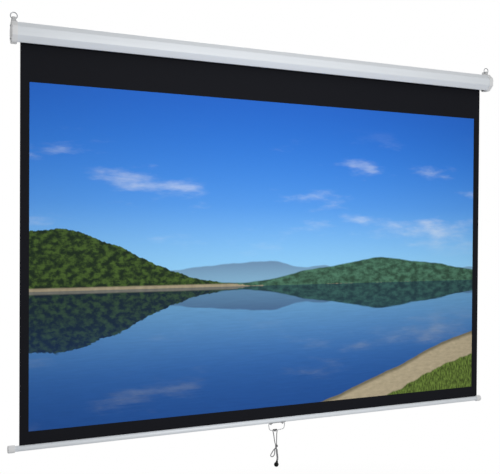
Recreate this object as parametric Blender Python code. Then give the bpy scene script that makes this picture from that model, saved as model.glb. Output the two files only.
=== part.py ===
"""Manual pull down projector screen, hung on two rings: Blender 4.5 model, metres, +Z up.

X runs along the case, +Y points to the wall behind the screen, and the picture faces -Y.
The origin is midway between the two hanging rings, at the top of their eyes, where the
hooks carry the screen. The screen is modelled pulled fully down.
"""

from math import asin, cos, hypot, pi, radians, sin, sqrt

import bmesh
import bpy
from mathutils import Matrix, Vector

# Picture and fabric
PICTURE_WIDTH = 2.154
PICTURE_HEIGHT = 1.346
SIDE_BORDER = 0.035
DROP_ABOVE_PICTURE = 0.1793  # from the roller's axis down to the picture's top edge
BORDER_BELOW_PICTURE = 0.0506  # from the picture down to the top of the bottom bar
FABRIC_THICKNESS = 0.0004

# Case: a rolled octagonal tube, open along its underside
CASE_ACROSS = 0.076
CASE_WALL = 0.0012
CASE_CORNER_RADIUS = 0.006
SLOT_FRONT = 0.010  # from the axis forward to the slot's front lip
SLOT_BACK = 0.026  # from the axis back to the slot's rear lip
SLOT_LIP = 0.005

# End caps, with the boss that holds the hanging ring
CAP_LENGTH = 0.0217
CAP_SIDE = 0.0027
CAP_END = 0.003
CAP_ROUNDING = 0.0025
CAP_BEYOND_FABRIC = 0.0361  # from the fabric's edge out to the end of the case
BOSS_HEIGHT = 0.0175
BOSS_BASE_WIDTH = 0.018
BOSS_TOP_WIDTH = 0.0145
BOSS_FRONT = 0.0065  # from the axis forward to the boss's front face
BOSS_BACK = 0.0235  # its rear end stands over the cap's rear slope
BOSS_ROUNDING = 0.0025
BOSS_SINK = 0.010
RING_WIRE = 0.004
RING_OUTSIDE = 0.029
RING_HOLE = 0.0088
RING_HOLE_ABOVE_CAP = 0.0105

# Bearing plates and cap screws
PLATE_THICKNESS = 0.002
CAP_SCREW_SHANK = 0.004
CAP_SCREW_HEAD = 0.0075
CAP_SCREW_HEAD_HEIGHT = 0.0024
CAP_SCREW_LENGTH = 0.0075
CAP_SCREW_SPACING = 0.050

# Roller and what turns with it
ROLLER_RADIUS = 0.015
ROLLER_WALL = 0.001
ROLL_THICKNESS = 0.0009  # the turns that stay on the roller when the screen is down
PLUG_LENGTH = 0.030
PLUG_FLANGE = 0.003
IDLER_FLANGE_RADIUS = 0.0165
PIN_RADIUS = 0.004
PIN_IN_PLUG = 0.024
BUSH_WALL = 0.002
BUSH_FLANGE_RADIUS = 0.009
BUSH_FLANGE = 0.002

# Spring motor
SHAFT_SIDE = 0.007
SPRING_WIRE = 0.0022
SPRING_TURNS = 24
SPRING_PITCH = 0.0034
SPRING_BOSS_RADIUS = 0.0085
SPRING_BOSS_LENGTH = 0.012
ANCHOR_LENGTH = 0.008

# Self-lock: two pawls on the turning plug, one notched ratchet on the fixed shaft
LOCK_FLANGE_RADIUS = 0.027
RATCHET_RADIUS = 0.0115
RATCHET_THICKNESS = 0.005
NOTCH_WIDTH = 0.005
NOTCH_DEPTH = 0.003
PAWL_THICKNESS = 0.0038
PAWL_WIDTH = 0.0042
PAWL_TOOTH = 0.0036
PAWL_PIVOT_BACK = 0.014  # from the axis back to the upper pawl's pin
PAWL_PIVOT_UP = 0.016
PAWL_PIN_RADIUS = 0.0015
PAWL_PIN_HEAD = 0.0008
PAWL_LIFT = radians(16)

# Bottom bar
BAR_RADIUS = 0.011
BAR_WALL = 0.0012
BAR_SLOT = 0.003
BAR_BEYOND_FABRIC = 0.0308
BAR_SHIFT = -0.012  # the bar sits a little to the left on the fabric, as photographed
BAR_CAP_RADIUS = 0.0145
BAR_CAP_LENGTH = 0.027
BAR_CAP_END = 0.005
BAR_CAP_ROUNDING = 0.004
HEM_ROD_RADIUS = 0.0035
HEM_ROD_SETBACK = 0.002

# Handle: a saddle bracket under the bar, and the wire bail that swings in its ears
HANDLE_SHIFT = -0.0122
BRACKET_LENGTH = 0.082
BRACKET_THICKNESS = 0.0012
BRACKET_HALF_ANGLE = radians(52)
BRACKET_SCREW_SPACING = 0.044
BRACKET_SCREW_SHANK = 0.003
BRACKET_SCREW_HEAD = 0.0056
BRACKET_SCREW_HEAD_HEIGHT = 0.0016
BRACKET_SCREW_GRIP = 0.004
EAR_THICKNESS = 0.0035
EAR_WIDTH = 0.009
EAR_INSET = 0.0265  # from the bracket's middle to an ear's inner face, see ear_places
PIVOT_BELOW_BRACKET = 0.0033
BAIL_WIRE = 0.003
BAIL_WIDTH = 0.084
BAIL_SHOULDER_DROP = 0.0252
BAIL_SHOULDER_WIDTH = 0.071
BAIL_DROP = 0.0284
BAIL_FOOT = 0.026  # the straight stretch that the cord is tied round
BAIL_CORNER = 0.008
BAIL_TURN_IN = 0.003

# Pull cord, its tie and the ball
CORD_DIAMETER = 0.004
CORD_WRAP_PITCH = 0.0065
CORD_WRAP_TURNS = 1.25  # on each side of the middle of the hitch
HITCH_SHIFT = -0.008
KNOT_TURNS = 2
KNOT_PITCH = 0.0050
KNOT_TOP = -0.0660
KNOT_X = 0.0
BALL_RADIUS = 0.0105
BALL_HEIGHT = 0.027
BALL_NECK_RIM = 0.0004  # the neck's face beyond the two cords that end on it
BALL_NECK_HEIGHT = 0.0035
BALL_SHOULDER = 0.0082  # from the neck's face down to where the round part starts

# Fits
GAP = 0.0003  # between pieces that touch or are pressed together
RUNNING_GAP = 0.0006  # between a turning piece and what it turns in or past
HOLE_GAP = 0.00035  # all round a shank, pin or wire in its hole

# Heights and half lengths worked out from the sizes above
RING_WIRE_RADIUS = RING_WIRE / 2
RING_CENTRE_RADIUS = RING_OUTSIDE / 2 - RING_WIRE_RADIUS
CAP_ACROSS = CASE_ACROSS + 2 * (GAP + CAP_SIDE)
RING_HOLE_Z = CAP_ACROSS / 2 + RING_HOLE_ABOVE_CAP  # above the roller's axis
BOSS_TAPER = (BOSS_BASE_WIDTH - BOSS_TOP_WIDTH) / BOSS_HEIGHT
BOSS_HOLE_WIDTH = BOSS_TOP_WIDTH + BOSS_TAPER * (BOSS_HEIGHT - RING_HOLE_ABOVE_CAP)
# the ring stands up in its hole and bears on the hole's upper edges
RING_SLOPE = asin(BOSS_HOLE_WIDTH / 2 / RING_CENTRE_RADIUS)
RING_EDGE_RISE = RING_CENTRE_RADIUS * (1 - cos(RING_SLOPE)) + RING_WIRE_RADIUS / cos(RING_SLOPE)
RING_DIP = RING_EDGE_RISE + HOLE_GAP - RING_HOLE / 2
AXIS_Z = -(RING_HOLE_Z - RING_DIP + 2 * RING_CENTRE_RADIUS - RING_WIRE_RADIUS)
RING_Z = AXIS_Z + RING_HOLE_Z - RING_DIP + RING_CENTRE_RADIUS

FABRIC_HALF = PICTURE_WIDTH / 2 + SIDE_BORDER
BAR_HALF_LENGTH = FABRIC_HALF + BAR_BEYOND_FABRIC
CASE_HALF = FABRIC_HALF + CAP_BEYOND_FABRIC
CAP_INNER_X = CASE_HALF - CAP_END
PLATE_OUTER_X = CAP_INNER_X - GAP
PLATE_INNER_X = PLATE_OUTER_X - PLATE_THICKNESS
TUBE_HALF = PLATE_INNER_X - GAP
CAP_MIDDLE_X = CASE_HALF - CAP_LENGTH / 2

ROLL_RADIUS = ROLLER_RADIUS + GAP + ROLL_THICKNESS
FABRIC_Y = ROLL_RADIUS + GAP + FABRIC_THICKNESS / 2
ROLLER_BORE = ROLLER_RADIUS - ROLLER_WALL
PLUG_RADIUS = ROLLER_BORE - GAP

BAR_TOP_Z = AXIS_Z - DROP_ABOVE_PICTURE - PICTURE_HEIGHT - BORDER_BELOW_PICTURE
BAR_Z = BAR_TOP_Z - BAR_RADIUS
BRACKET_OUTER = BAR_RADIUS + GAP + BRACKET_THICKNESS
PIVOT_Z = BAR_Z - BRACKET_OUTER - PIVOT_BELOW_BRACKET
BAIL_Z = PIVOT_Z - BAIL_DROP
WRAP_RADIUS = (BAIL_WIRE + CORD_DIAMETER) / 2 + HOLE_GAP + GAP / 2
PAIR_SPACING = CORD_DIAMETER + 2 * GAP

ROUND_STEPS = 32
SMALL_STEPS = 20
FINE_STEPS = 12
SELF_GAP_SKIP = 5  # neighbouring points of a wound tube that are one bend, not two turns


def clear_scene():
    """Remove every object that the file holds."""
    for obj in list(bpy.data.objects):
        bpy.data.objects.remove(obj, do_unlink=True)


def make_material(name, colour, roughness, metallic=0.0):
    """A Principled material of one colour."""
    material = bpy.data.materials.new(name)
    material.use_nodes = True
    shader = material.node_tree.nodes["Principled BSDF"]
    shader.inputs["Base Color"].default_value = (*colour, 1.0)
    shader.inputs["Roughness"].default_value = roughness
    shader.inputs["Metallic"].default_value = metallic
    material.diffuse_color = (*colour, 1.0)
    return material


def make_object(name, bm, material):
    """Turn a bmesh into a named object, shaded smooth where its faces meet gently."""
    bmesh.ops.recalc_face_normals(bm, faces=bm.faces)
    mesh = bpy.data.meshes.new(name)
    bm.to_mesh(mesh)
    bm.free()
    mesh.materials.append(material)
    mesh.shade_smooth()
    mesh.set_sharp_from_angle(angle=radians(35))
    obj = bpy.data.objects.new(name, mesh)
    bpy.context.collection.objects.link(obj)
    return obj


def loft(name, rings, material, closed=False):
    """Skin rings of points of equal count, with flat ends, or closed round on itself."""
    bm = bmesh.new()
    loops = [[bm.verts.new(point) for point in ring] for ring in rings]
    pairs = list(zip(loops, loops[1:]))
    if closed:
        pairs.append((loops[-1], loops[0]))
    for near, far in pairs:
        for i in range(len(near)):
            j = (i + 1) % len(near)
            bm.faces.new((near[i], near[j], far[j], far[i]))
    if not closed:
        bm.faces.new(loops[0])
        bm.faces.new(loops[-1])
    return make_object(name, bm, material)


def prism_x(name, outline, x_start, x_end, material):
    """Extrude an outline of (y, z) points along X."""
    rings = [[(x, y, z) for y, z in outline] for x in (x_start, x_end)]
    return loft(name, rings, material)


def turned_x(name, profile, material, centre=(0.0, 0.0), steps=ROUND_STEPS, closed=False):
    """Turn a profile of (x, radius) points about a line along X through centre (y, z)."""
    rings = []
    for x, radius in profile:
        angles = [2 * pi * i / steps for i in range(steps)]
        rings.append(
            [(x, centre[0] + radius * cos(a), centre[1] + radius * sin(a)) for a in angles]
        )
    return loft(name, rings, material, closed)


def turned_z(name, profile, material, centre, steps=SMALL_STEPS):
    """Turn a profile of (z, radius) points about the upright line through centre (x, y)."""
    rings = []
    for z, radius in profile:
        angles = [2 * pi * i / steps for i in range(steps)]
        rings.append(
            [(centre[0] + radius * cos(a), centre[1] + radius * sin(a), z) for a in angles]
        )
    return loft(name, rings, material)


def tube_profile(x_start, x_end, outer, inner):
    """The four corners of a plain tube's wall."""
    return [(x_start, outer), (x_end, outer), (x_end, inner), (x_start, inner)]


def use_tool(obj, tool, operation):
    """Cut or join obj with a hidden tool object that moves with it."""
    tool.parent = obj
    tool.hide_render = True
    tool.display_type = "WIRE"
    modifier = obj.modifiers.new(operation.title(), "BOOLEAN")
    modifier.operation = operation
    modifier.object = tool


def wire(name, points, diameter, material, sides=2):
    """A round wire or cord along hand placed or computed points, with filled ends."""
    curve = bpy.data.curves.new(name, "CURVE")
    curve.dimensions = "3D"
    curve.bevel_depth = diameter / 2
    curve.bevel_resolution = sides
    curve.use_fill_caps = True
    curve.materials.append(material)
    spline = curve.splines.new("POLY")
    spline.points.add(len(points) - 1)
    for point, place in zip(spline.points, points):
        point.co = (*place, 1.0)
    obj = bpy.data.objects.new(name, curve)
    bpy.context.collection.objects.link(obj)
    return obj


def octagon(across, corner_radius, steps=3, centre=(0.0, 0.0)):
    """A regular octagon with rounded corners, as (y, z) points, flats to the axes."""
    reach = (across / 2 - corner_radius) / cos(pi / 8)
    points = []
    for corner in range(8):
        middle = pi / 8 + corner * pi / 4
        for step in range(steps + 1):
            turn = middle - pi / 8 + (pi / 4) * step / steps
            points.append(
                (
                    centre[0] + reach * cos(middle) + corner_radius * cos(turn),
                    centre[1] + reach * sin(middle) + corner_radius * sin(turn),
                )
            )
    return points


def offset_right(path, distance):
    """The path moved to the right of its own direction, with mitred corners."""
    moved = []
    for i, (y, z) in enumerate(path):
        normals = []
        for a, b in ((i - 1, i), (i, i + 1)):
            if a >= 0 and b < len(path):
                dy, dz = path[b][0] - path[a][0], path[b][1] - path[a][1]
                size = hypot(dy, dz)
                normals.append((dz / size, -dy / size))
        ny = sum(n[0] for n in normals) / len(normals)
        nz = sum(n[1] for n in normals) / len(normals)
        scale = distance / (ny * ny + nz * nz)
        moved.append((y + ny * scale, z + nz * scale))
    return moved


def filleted(corners, radii, steps=4):
    """A path through the corners, in any plane, with each inner corner rounded."""
    path = [corners[0]]
    for before, corner, after, radius in zip(corners, corners[1:], corners[2:], radii):
        legs = []
        for end in (before, after):
            run = [e - c for e, c in zip(end, corner)]
            size = sqrt(sum(r * r for r in run))
            legs.append([c + r * radius / size for c, r in zip(corner, run)])
        for step in range(steps + 1):
            t = step / steps
            path.append(
                tuple(
                    (1 - t) ** 2 * a + 2 * t * (1 - t) * c + t * t * b
                    for a, c, b in zip(legs[0], corner, legs[1])
                )
            )
    path.append(corners[-1])
    return path


def print_least_gap(name, points, diameter):
    """Print how near a wound tube comes to itself, from points along its middle."""
    least = min(
        hypot(a[0] - b[0], a[1] - b[1], a[2] - b[2])
        for i, a in enumerate(points)
        for b in points[i + SELF_GAP_SKIP:]
    )
    print(f"{name}: least gap to itself {1000 * (least - diameter):.2f} mm")


def smooth_curve(points, spacing):
    """Points at an even spacing along a smooth curve through the chosen points."""
    ends = [points[0]] + list(points) + [points[-1]]
    dense = []
    for p0, p1, p2, p3 in zip(ends, ends[1:], ends[2:], ends[3:]):
        for step in range(24):
            t = step / 24
            dense.append(
                tuple(
                    0.5
                    * (
                        2 * b
                        + (c - a) * t
                        + (2 * a - 5 * b + 4 * c - d) * t * t
                        + (3 * b - a - 3 * c + d) * t ** 3
                    )
                    for a, b, c, d in zip(p0, p1, p2, p3)
                )
            )
    dense.append(points[-1])
    lengths = [0.0]
    for a, b in zip(dense, dense[1:]):
        lengths.append(lengths[-1] + sqrt(sum((q - p) ** 2 for p, q in zip(a, b))))
    count = max(2, round(lengths[-1] / spacing))
    even = []
    for i in range(count + 1):
        target = lengths[-1] * i / count
        k = 0
        while k < len(dense) - 2 and lengths[k + 1] < target:
            k += 1
        share = (target - lengths[k]) / max(lengths[k + 1] - lengths[k], 1e-12)
        even.append(tuple(a + (b - a) * share for a, b in zip(dense[k], dense[k + 1])))
    return even


def moving_group(name, place, pieces):
    """An empty on a joint's axis that carries the pieces which move there."""
    empty = bpy.data.objects.new(name, None)
    empty.empty_display_size = 0.03
    empty.location = place
    bpy.context.collection.objects.link(empty)
    for piece in pieces:
        piece.parent = empty
        piece.matrix_parent_inverse = Matrix.Translation(place).inverted()
    return empty


def case_tube(paint):
    """The octagonal case: one strip rolled round, with a lip turned in at each slot edge."""
    outline = octagon(CASE_ACROSS, CASE_CORNER_RADIUS, centre=(0.0, AXIS_Z))
    half = CASE_ACROSS / 2
    chamfer_end = half * (sqrt(2) - 1)
    # the rear slot edge lies on the rear lower slope of the octagon
    rear_edge_z = AXIS_Z - half + (SLOT_BACK - chamfer_end)
    clockwise = outline[::-1]
    front_of_slot = [p for p in clockwise if not in_slot(p, rear_edge_z)]
    start = min(
        range(len(front_of_slot)),
        key=lambda i: hypot(front_of_slot[i][0] + SLOT_FRONT, front_of_slot[i][1] - AXIS_Z + half),
    )
    ordered = front_of_slot[start:] + front_of_slot[:start]
    slope = SLOT_LIP / sqrt(2)
    path = (
        [(-SLOT_FRONT, AXIS_Z - half + SLOT_LIP), (-SLOT_FRONT, AXIS_Z - half)]
        + ordered
        + [(SLOT_BACK, rear_edge_z), (SLOT_BACK - slope, rear_edge_z + slope)]
    )
    section = path + offset_right(path, CASE_WALL)[::-1]
    return prism_x("case_tube", section, -TUBE_HALF, TUBE_HALF, paint)


def in_slot(point, rear_edge_z):
    """Whether a point of the case's outline falls in the open underside."""
    y, z = point
    below = z < AXIS_Z - CASE_ACROSS / 4
    return below and y > -SLOT_FRONT and (y < SLOT_BACK or z < rear_edge_z)


def end_cap(name, side, plastic):
    """A moulded cup over the end of the case, with the hanging ring's boss on top."""
    outer_end = side * CASE_HALF
    open_end = side * (CASE_HALF - CAP_LENGTH)
    rings = [(open_end, 0.0)]
    for step in range(4):
        turn = (pi / 2) * step / 3
        rings.append(
            (outer_end - side * CAP_ROUNDING * (1 - sin(turn)), CAP_ROUNDING * (1 - cos(turn)))
        )
    sections = []
    for x, inset in rings:
        outline = octagon(CAP_ACROSS - 2 * inset, CASE_CORNER_RADIUS + CAP_SIDE - inset)
        sections.append([(x, y, AXIS_Z + z) for y, z in outline])
    cap = loft(name, sections, plastic)

    boss = loft(name + "_boss_tool", boss_sections(side), plastic)
    use_tool(cap, boss, "UNION")

    socket = octagon(CASE_ACROSS + 2 * GAP, CASE_CORNER_RADIUS + GAP, centre=(0.0, AXIS_Z))
    beyond = open_end - side * CAP_LENGTH
    hollow = prism_x(name + "_socket_tool", socket, beyond, side * CAP_INNER_X, plastic)
    use_tool(cap, hollow, "DIFFERENCE")

    hole = turned_x(
        name + "_ring_hole_tool",
        [(side * (CASE_HALF - 2 * CAP_LENGTH), RING_HOLE / 2),
         (side * (CASE_HALF + CAP_LENGTH), RING_HOLE / 2)],
        plastic,
        centre=(0.0, AXIS_Z + RING_HOLE_Z),
        steps=SMALL_STEPS,
    )
    use_tool(cap, hole, "DIFFERENCE")
    for z in cap_screw_heights():
        use_tool(cap, screw_hole_tool(name, side, z, plastic), "DIFFERENCE")
    return cap


def boss_sections(side):
    """Rounded rectangles up the boss, drawn in towards its top."""
    base_z = AXIS_Z + CAP_ACROSS / 2 - BOSS_SINK
    top_z = AXIS_Z + CAP_ACROSS / 2 + BOSS_HEIGHT
    middle_y = (BOSS_BACK - BOSS_FRONT) / 2
    sections = []
    for z, inset in (
        (base_z, 0.0),
        (base_z + BOSS_SINK, 0.0),
        (top_z - BOSS_ROUNDING, 0.0),
        (top_z - BOSS_ROUNDING / 4, BOSS_ROUNDING / 3),
        (top_z, BOSS_ROUNDING),
    ):
        fall = min(top_z - z, BOSS_HEIGHT)
        half_x = (BOSS_TOP_WIDTH + BOSS_TAPER * fall) / 2 - inset
        half_y = (BOSS_FRONT + BOSS_BACK) / 2 - inset
        sections.append(
            [
                (side * CAP_MIDDLE_X + x, middle_y + y, z)
                for x, y in rounded_rectangle(half_x, half_y, BOSS_ROUNDING)
            ]
        )
    return sections


def rounded_rectangle(half_x, half_y, radius, steps=3):
    """A rectangle about the origin with rounded corners."""
    points = []
    for corner, (sx, sy) in enumerate(((1, 1), (-1, 1), (-1, -1), (1, -1))):
        for step in range(steps + 1):
            turn = corner * pi / 2 + (pi / 2) * step / steps
            points.append(
                (
                    sx * (half_x - radius) + radius * cos(turn),
                    sy * (half_y - radius) + radius * sin(turn),
                )
            )
    return points


def cap_screw_heights():
    """The heights of the two screws in each cap."""
    return (AXIS_Z + CAP_SCREW_SPACING / 2, AXIS_Z - CAP_SCREW_SPACING / 2)


def screw_hole_tool(name, side, z, material):
    """A round tool along X through the cap's end and the bearing plate."""
    radius = CAP_SCREW_SHANK / 2 + HOLE_GAP
    return turned_x(
        f"{name}_screw_tool_{'upper' if z > AXIS_Z else 'lower'}",
        [(side * (CASE_HALF - CAP_LENGTH / 2), radius), (side * (CASE_HALF + CAP_LENGTH), radius)],
        material,
        centre=(0.0, z),
        steps=FINE_STEPS,
    )


def cap_screw(name, side, z, steel):
    """A pan head screw along X that holds the cap to the bearing plate."""
    seat = CASE_HALF + GAP
    shank = CAP_SCREW_SHANK / 2
    head = CAP_SCREW_HEAD / 2
    profile = [
        (seat - CAP_SCREW_LENGTH, shank * 0.8),
        (seat - CAP_SCREW_LENGTH + shank * 0.3, shank),
        (seat, shank),
        (seat, head),
        (seat + CAP_SCREW_HEAD_HEIGHT * 0.55, head * 0.96),
        (seat + CAP_SCREW_HEAD_HEIGHT * 0.9, head * 0.72),
        (seat + CAP_SCREW_HEAD_HEIGHT, head * 0.4),
    ]
    profile = [(side * x, r) for x, r in profile]
    return turned_x(name, profile, steel, centre=(0.0, z), steps=FINE_STEPS)


def bearing_plate(name, side, steel, hole_tool):
    """A steel plate in the case's end that carries the roller."""
    outline = octagon(CASE_ACROSS - 2 * GAP, CASE_CORNER_RADIUS, centre=(0.0, AXIS_Z))
    plate = prism_x(name, outline, side * PLATE_INNER_X, side * PLATE_OUTER_X, steel)
    use_tool(plate, hole_tool, "DIFFERENCE")
    for z in cap_screw_heights():
        use_tool(plate, screw_hole_tool(name, side, z, steel), "DIFFERENCE")
    return plate


def square_outline(side_length, centre=(0.0, 0.0)):
    """A square of (y, z) points."""
    h = side_length / 2
    return [(centre[0] + y, centre[1] + z) for y, z in ((h, h), (-h, h), (-h, -h), (h, -h))]


def hanging_ring(name, side, steel):
    """A welded steel ring that stands in the plane of the screen."""
    major_steps, minor_steps = 28, 10
    rings = []
    for i in range(major_steps):
        a = 2 * pi * i / major_steps
        ring = []
        for j in range(minor_steps):
            b = 2 * pi * j / minor_steps
            reach = RING_CENTRE_RADIUS + RING_WIRE_RADIUS * cos(b)
            ring.append(
                (
                    side * CAP_MIDDLE_X + reach * sin(a),
                    RING_WIRE_RADIUS * sin(b),
                    RING_Z + reach * cos(a),
                )
            )
        rings.append(ring)
    return loft(name, rings, steel, closed=True)


def lock_places():
    """X planes of the self-lock, from the left bearing plate inwards, as positive numbers."""
    ratchet_outer = PLATE_INNER_X - GAP
    pin_outer = PLATE_INNER_X - RUNNING_GAP
    pawl_outer = pin_outer - PAWL_PIN_HEAD - GAP
    flange_outer = pawl_outer - PAWL_THICKNESS - GAP
    return {
        "ratchet_outer": ratchet_outer,
        "ratchet_inner": ratchet_outer - RATCHET_THICKNESS,
        "pin_outer": pin_outer,
        "pawl_outer": pawl_outer,
        "pawl_inner": pawl_outer - PAWL_THICKNESS,
        "flange_outer": min(flange_outer, ratchet_outer - RATCHET_THICKNESS - RUNNING_GAP),
    }


def lock_plug(plastic):
    """The roller's left plug: a flange that carries the pawls, and the spring's boss."""
    flange = lock_places()["flange_outer"]
    bore = SHAFT_SIDE / sqrt(2) + RUNNING_GAP
    body_start = flange - PLUG_FLANGE
    body_end = body_start - PLUG_LENGTH
    boss_end = body_end - SPRING_BOSS_LENGTH
    profile = [
        (-flange, LOCK_FLANGE_RADIUS),
        (-body_start, LOCK_FLANGE_RADIUS),
        (-body_start, PLUG_RADIUS),
        (-body_end, PLUG_RADIUS),
        (-body_end, SPRING_BOSS_RADIUS),
        (-boss_end, SPRING_BOSS_RADIUS),
        (-boss_end, bore),
        (-flange, bore),
    ]
    plug = turned_x("lock_plug", profile, plastic, centre=(0.0, AXIS_Z), closed=True)
    for y, z in pawl_pivots().values():
        hole = turned_x(
            f"lock_plug_pin_tool_{'upper' if z > AXIS_Z else 'lower'}",
            [(-flange - PLUG_FLANGE, PAWL_PIN_RADIUS + HOLE_GAP),
             (-flange + 2 * PLUG_FLANGE, PAWL_PIN_RADIUS + HOLE_GAP)],
            plastic,
            centre=(y, z),
            steps=FINE_STEPS,
        )
        use_tool(plug, hole, "DIFFERENCE")
    return plug


def pawl_pivots():
    """The two pawls' pins, half a turn apart."""
    return {
        "upper": (PAWL_PIVOT_BACK, AXIS_Z + PAWL_PIVOT_UP),
        "lower": (-PAWL_PIVOT_BACK, AXIS_Z - PAWL_PIVOT_UP),
    }


def lock_ratchet(steel):
    """A disc fixed on the square shaft, with a notch above and below for a pawl's tooth."""
    places = lock_places()
    half = NOTCH_WIDTH / 2
    edge = asin(half / RATCHET_RADIUS)
    floor = RATCHET_RADIUS - NOTCH_DEPTH
    outline = []
    for middle in (pi / 2, 3 * pi / 2):
        sign = 1 if middle < pi else -1
        outline += [(sign * half, sign * floor), (-sign * half, sign * floor)]
        for step in range(13):
            turn = middle + edge + (pi - 2 * edge) * step / 12
            outline.append((RATCHET_RADIUS * cos(turn), RATCHET_RADIUS * sin(turn)))
    outline = [(y, AXIS_Z + z) for y, z in outline]
    ratchet = prism_x(
        "lock_ratchet", outline, -places["ratchet_outer"], -places["ratchet_inner"], steel
    )
    hole = prism_x(
        "lock_ratchet_hole_tool",
        square_outline(SHAFT_SIDE + 2 * GAP, (0.0, AXIS_Z)),
        -CASE_HALF,
        -places["ratchet_inner"] + RATCHET_THICKNESS,
        steel,
    )
    use_tool(ratchet, hole, "DIFFERENCE")
    return ratchet


def pawl(name, steel):
    """A hooked finger on its pin, thrown clear of the ratchet."""
    places = lock_places()
    sign = 1 if name == "upper" else -1
    pivot_y, pivot_z = pawl_pivots()[name]
    half = PAWL_WIDTH / 2
    tooth = PAWL_TOOTH / 2
    arm_z = RATCHET_RADIUS + half + 2 * RUNNING_GAP - PAWL_PIVOT_UP
    tip_z = RATCHET_RADIUS - NOTCH_DEPTH + 2 * GAP - PAWL_PIVOT_UP
    # the outline about the pin, in the engaged place: arm, hooked tooth and round heel
    outline = [
        (-PAWL_PIVOT_BACK + tooth, arm_z - half),
        (-PAWL_PIVOT_BACK + tooth, tip_z),
        (-PAWL_PIVOT_BACK - tooth, tip_z + GAP),
        (-PAWL_PIVOT_BACK - tooth, arm_z + half * 0.6),
        (-PAWL_PIVOT_BACK - tooth + half * 0.5, arm_z + half),
    ]
    for step in range(7):
        turn = radians(100) - radians(200) * step / 6
        outline.append((half * 1.2 * cos(turn), half * 1.2 * sin(turn)))
    turned = []
    for y, z in outline:
        lifted_y = y * cos(PAWL_LIFT) + z * sin(PAWL_LIFT)
        lifted_z = -y * sin(PAWL_LIFT) + z * cos(PAWL_LIFT)
        turned.append((pivot_y + sign * lifted_y, pivot_z + sign * lifted_z))
    finger = prism_x(
        f"{name}_pawl", turned, -places["pawl_outer"], -places["pawl_inner"], steel
    )
    hole = turned_x(
        f"{name}_pawl_hole_tool",
        [(-CASE_HALF, PAWL_PIN_RADIUS + HOLE_GAP),
         (-places["pawl_inner"] + PAWL_THICKNESS, PAWL_PIN_RADIUS + HOLE_GAP)],
        steel,
        centre=(pivot_y, pivot_z),
        steps=FINE_STEPS,
    )
    use_tool(finger, hole, "DIFFERENCE")
    return finger


def pawl_pin(name, steel):
    """A headed pin that stands out of the lock plug's flange and carries a pawl."""
    places = lock_places()
    head = PAWL_PIN_RADIUS * 1.7
    profile = [
        (-places["pin_outer"], head),
        (-places["pin_outer"] + PAWL_PIN_HEAD, head),
        (-places["pin_outer"] + PAWL_PIN_HEAD, PAWL_PIN_RADIUS),
        (-places["flange_outer"] + PLUG_FLANGE - GAP, PAWL_PIN_RADIUS),
    ]
    return turned_x(
        f"{name}_pawl_pin", profile, steel, centre=pawl_pivots()[name], steps=FINE_STEPS
    )


def spring_places():
    """X planes of the spring motor: spring start and end, and the anchor's faces."""
    boss_root = -(lock_places()["flange_outer"] - PLUG_FLANGE - PLUG_LENGTH)
    start = boss_root + SPRING_WIRE / 2 + GAP
    end = start + SPRING_TURNS * SPRING_PITCH
    anchor_face = end + SPRING_WIRE / 2 + GAP
    return {"start": start, "end": end, "anchor_face": anchor_face}


def torsion_spring(steel):
    """The wound spring between the lock plug and the anchor on the fixed shaft."""
    places = spring_places()
    radius = SPRING_BOSS_RADIUS + GAP + SPRING_WIRE / 2 + GAP
    per_turn = 9
    points = []
    for i in range(SPRING_TURNS * per_turn + 1):
        turn = 2 * pi * i / per_turn
        x = places["start"] + SPRING_PITCH * i / per_turn
        points.append((x, radius * cos(turn), AXIS_Z + radius * sin(turn)))
    print_least_gap("torsion_spring", points, SPRING_WIRE)
    return wire("torsion_spring", points, SPRING_WIRE, steel, sides=1)


def spring_anchor(steel):
    """A collar on the shaft's inner end that holds the far end of the spring."""
    face = spring_places()["anchor_face"]
    bore = SHAFT_SIDE / sqrt(2) + GAP
    outer = ROLLER_BORE - RUNNING_GAP
    profile = [
        (face - SPRING_BOSS_LENGTH, SPRING_BOSS_RADIUS),
        (face, SPRING_BOSS_RADIUS),
        (face, outer),
        (face + ANCHOR_LENGTH, outer),
        (face + ANCHOR_LENGTH, bore),
        (face - SPRING_BOSS_LENGTH, bore),
    ]
    return turned_x("spring_anchor", profile, steel, centre=(0.0, AXIS_Z), closed=True)


def spring_shaft(steel):
    """The square shaft that the left plate holds still."""
    end = spring_places()["anchor_face"] + ANCHOR_LENGTH
    outline = square_outline(SHAFT_SIDE, (0.0, AXIS_Z))
    return prism_x("spring_shaft", outline, -PLATE_OUTER_X, end, steel)


def bush_places():
    """X planes of the idler end: the bush's inner face and the plug's flange."""
    bush_inner = PLATE_INNER_X - GAP - BUSH_FLANGE
    flange_outer = bush_inner - GAP
    return {"bush_inner": bush_inner, "flange_outer": flange_outer}


def idler_bush(nylon):
    """A flanged bush pressed into the right plate."""
    inner = PIN_RADIUS + HOLE_GAP
    body = inner + BUSH_WALL
    seat = PLATE_INNER_X - GAP
    places = bush_places()
    profile = [
        (places["bush_inner"], BUSH_FLANGE_RADIUS),
        (seat, BUSH_FLANGE_RADIUS),
        (seat, body),
        (PLATE_OUTER_X, body),
        (PLATE_OUTER_X, inner),
        (places["bush_inner"], inner),
    ]
    return turned_x(
        "idler_bush", profile, nylon, centre=(0.0, AXIS_Z), steps=SMALL_STEPS, closed=True
    )


def idler_plug(plastic):
    """The roller's right plug, bored for the pin that it turns on."""
    flange = bush_places()["flange_outer"]
    body_start = flange - PLUG_FLANGE
    bore = PIN_RADIUS + GAP
    profile = [
        (flange, IDLER_FLANGE_RADIUS),
        (body_start, IDLER_FLANGE_RADIUS),
        (body_start, PLUG_RADIUS),
        (body_start - PLUG_LENGTH, PLUG_RADIUS),
        (body_start - PLUG_LENGTH, bore),
        (flange, bore),
    ]
    return turned_x("idler_plug", profile, plastic, centre=(0.0, AXIS_Z), closed=True)


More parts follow.
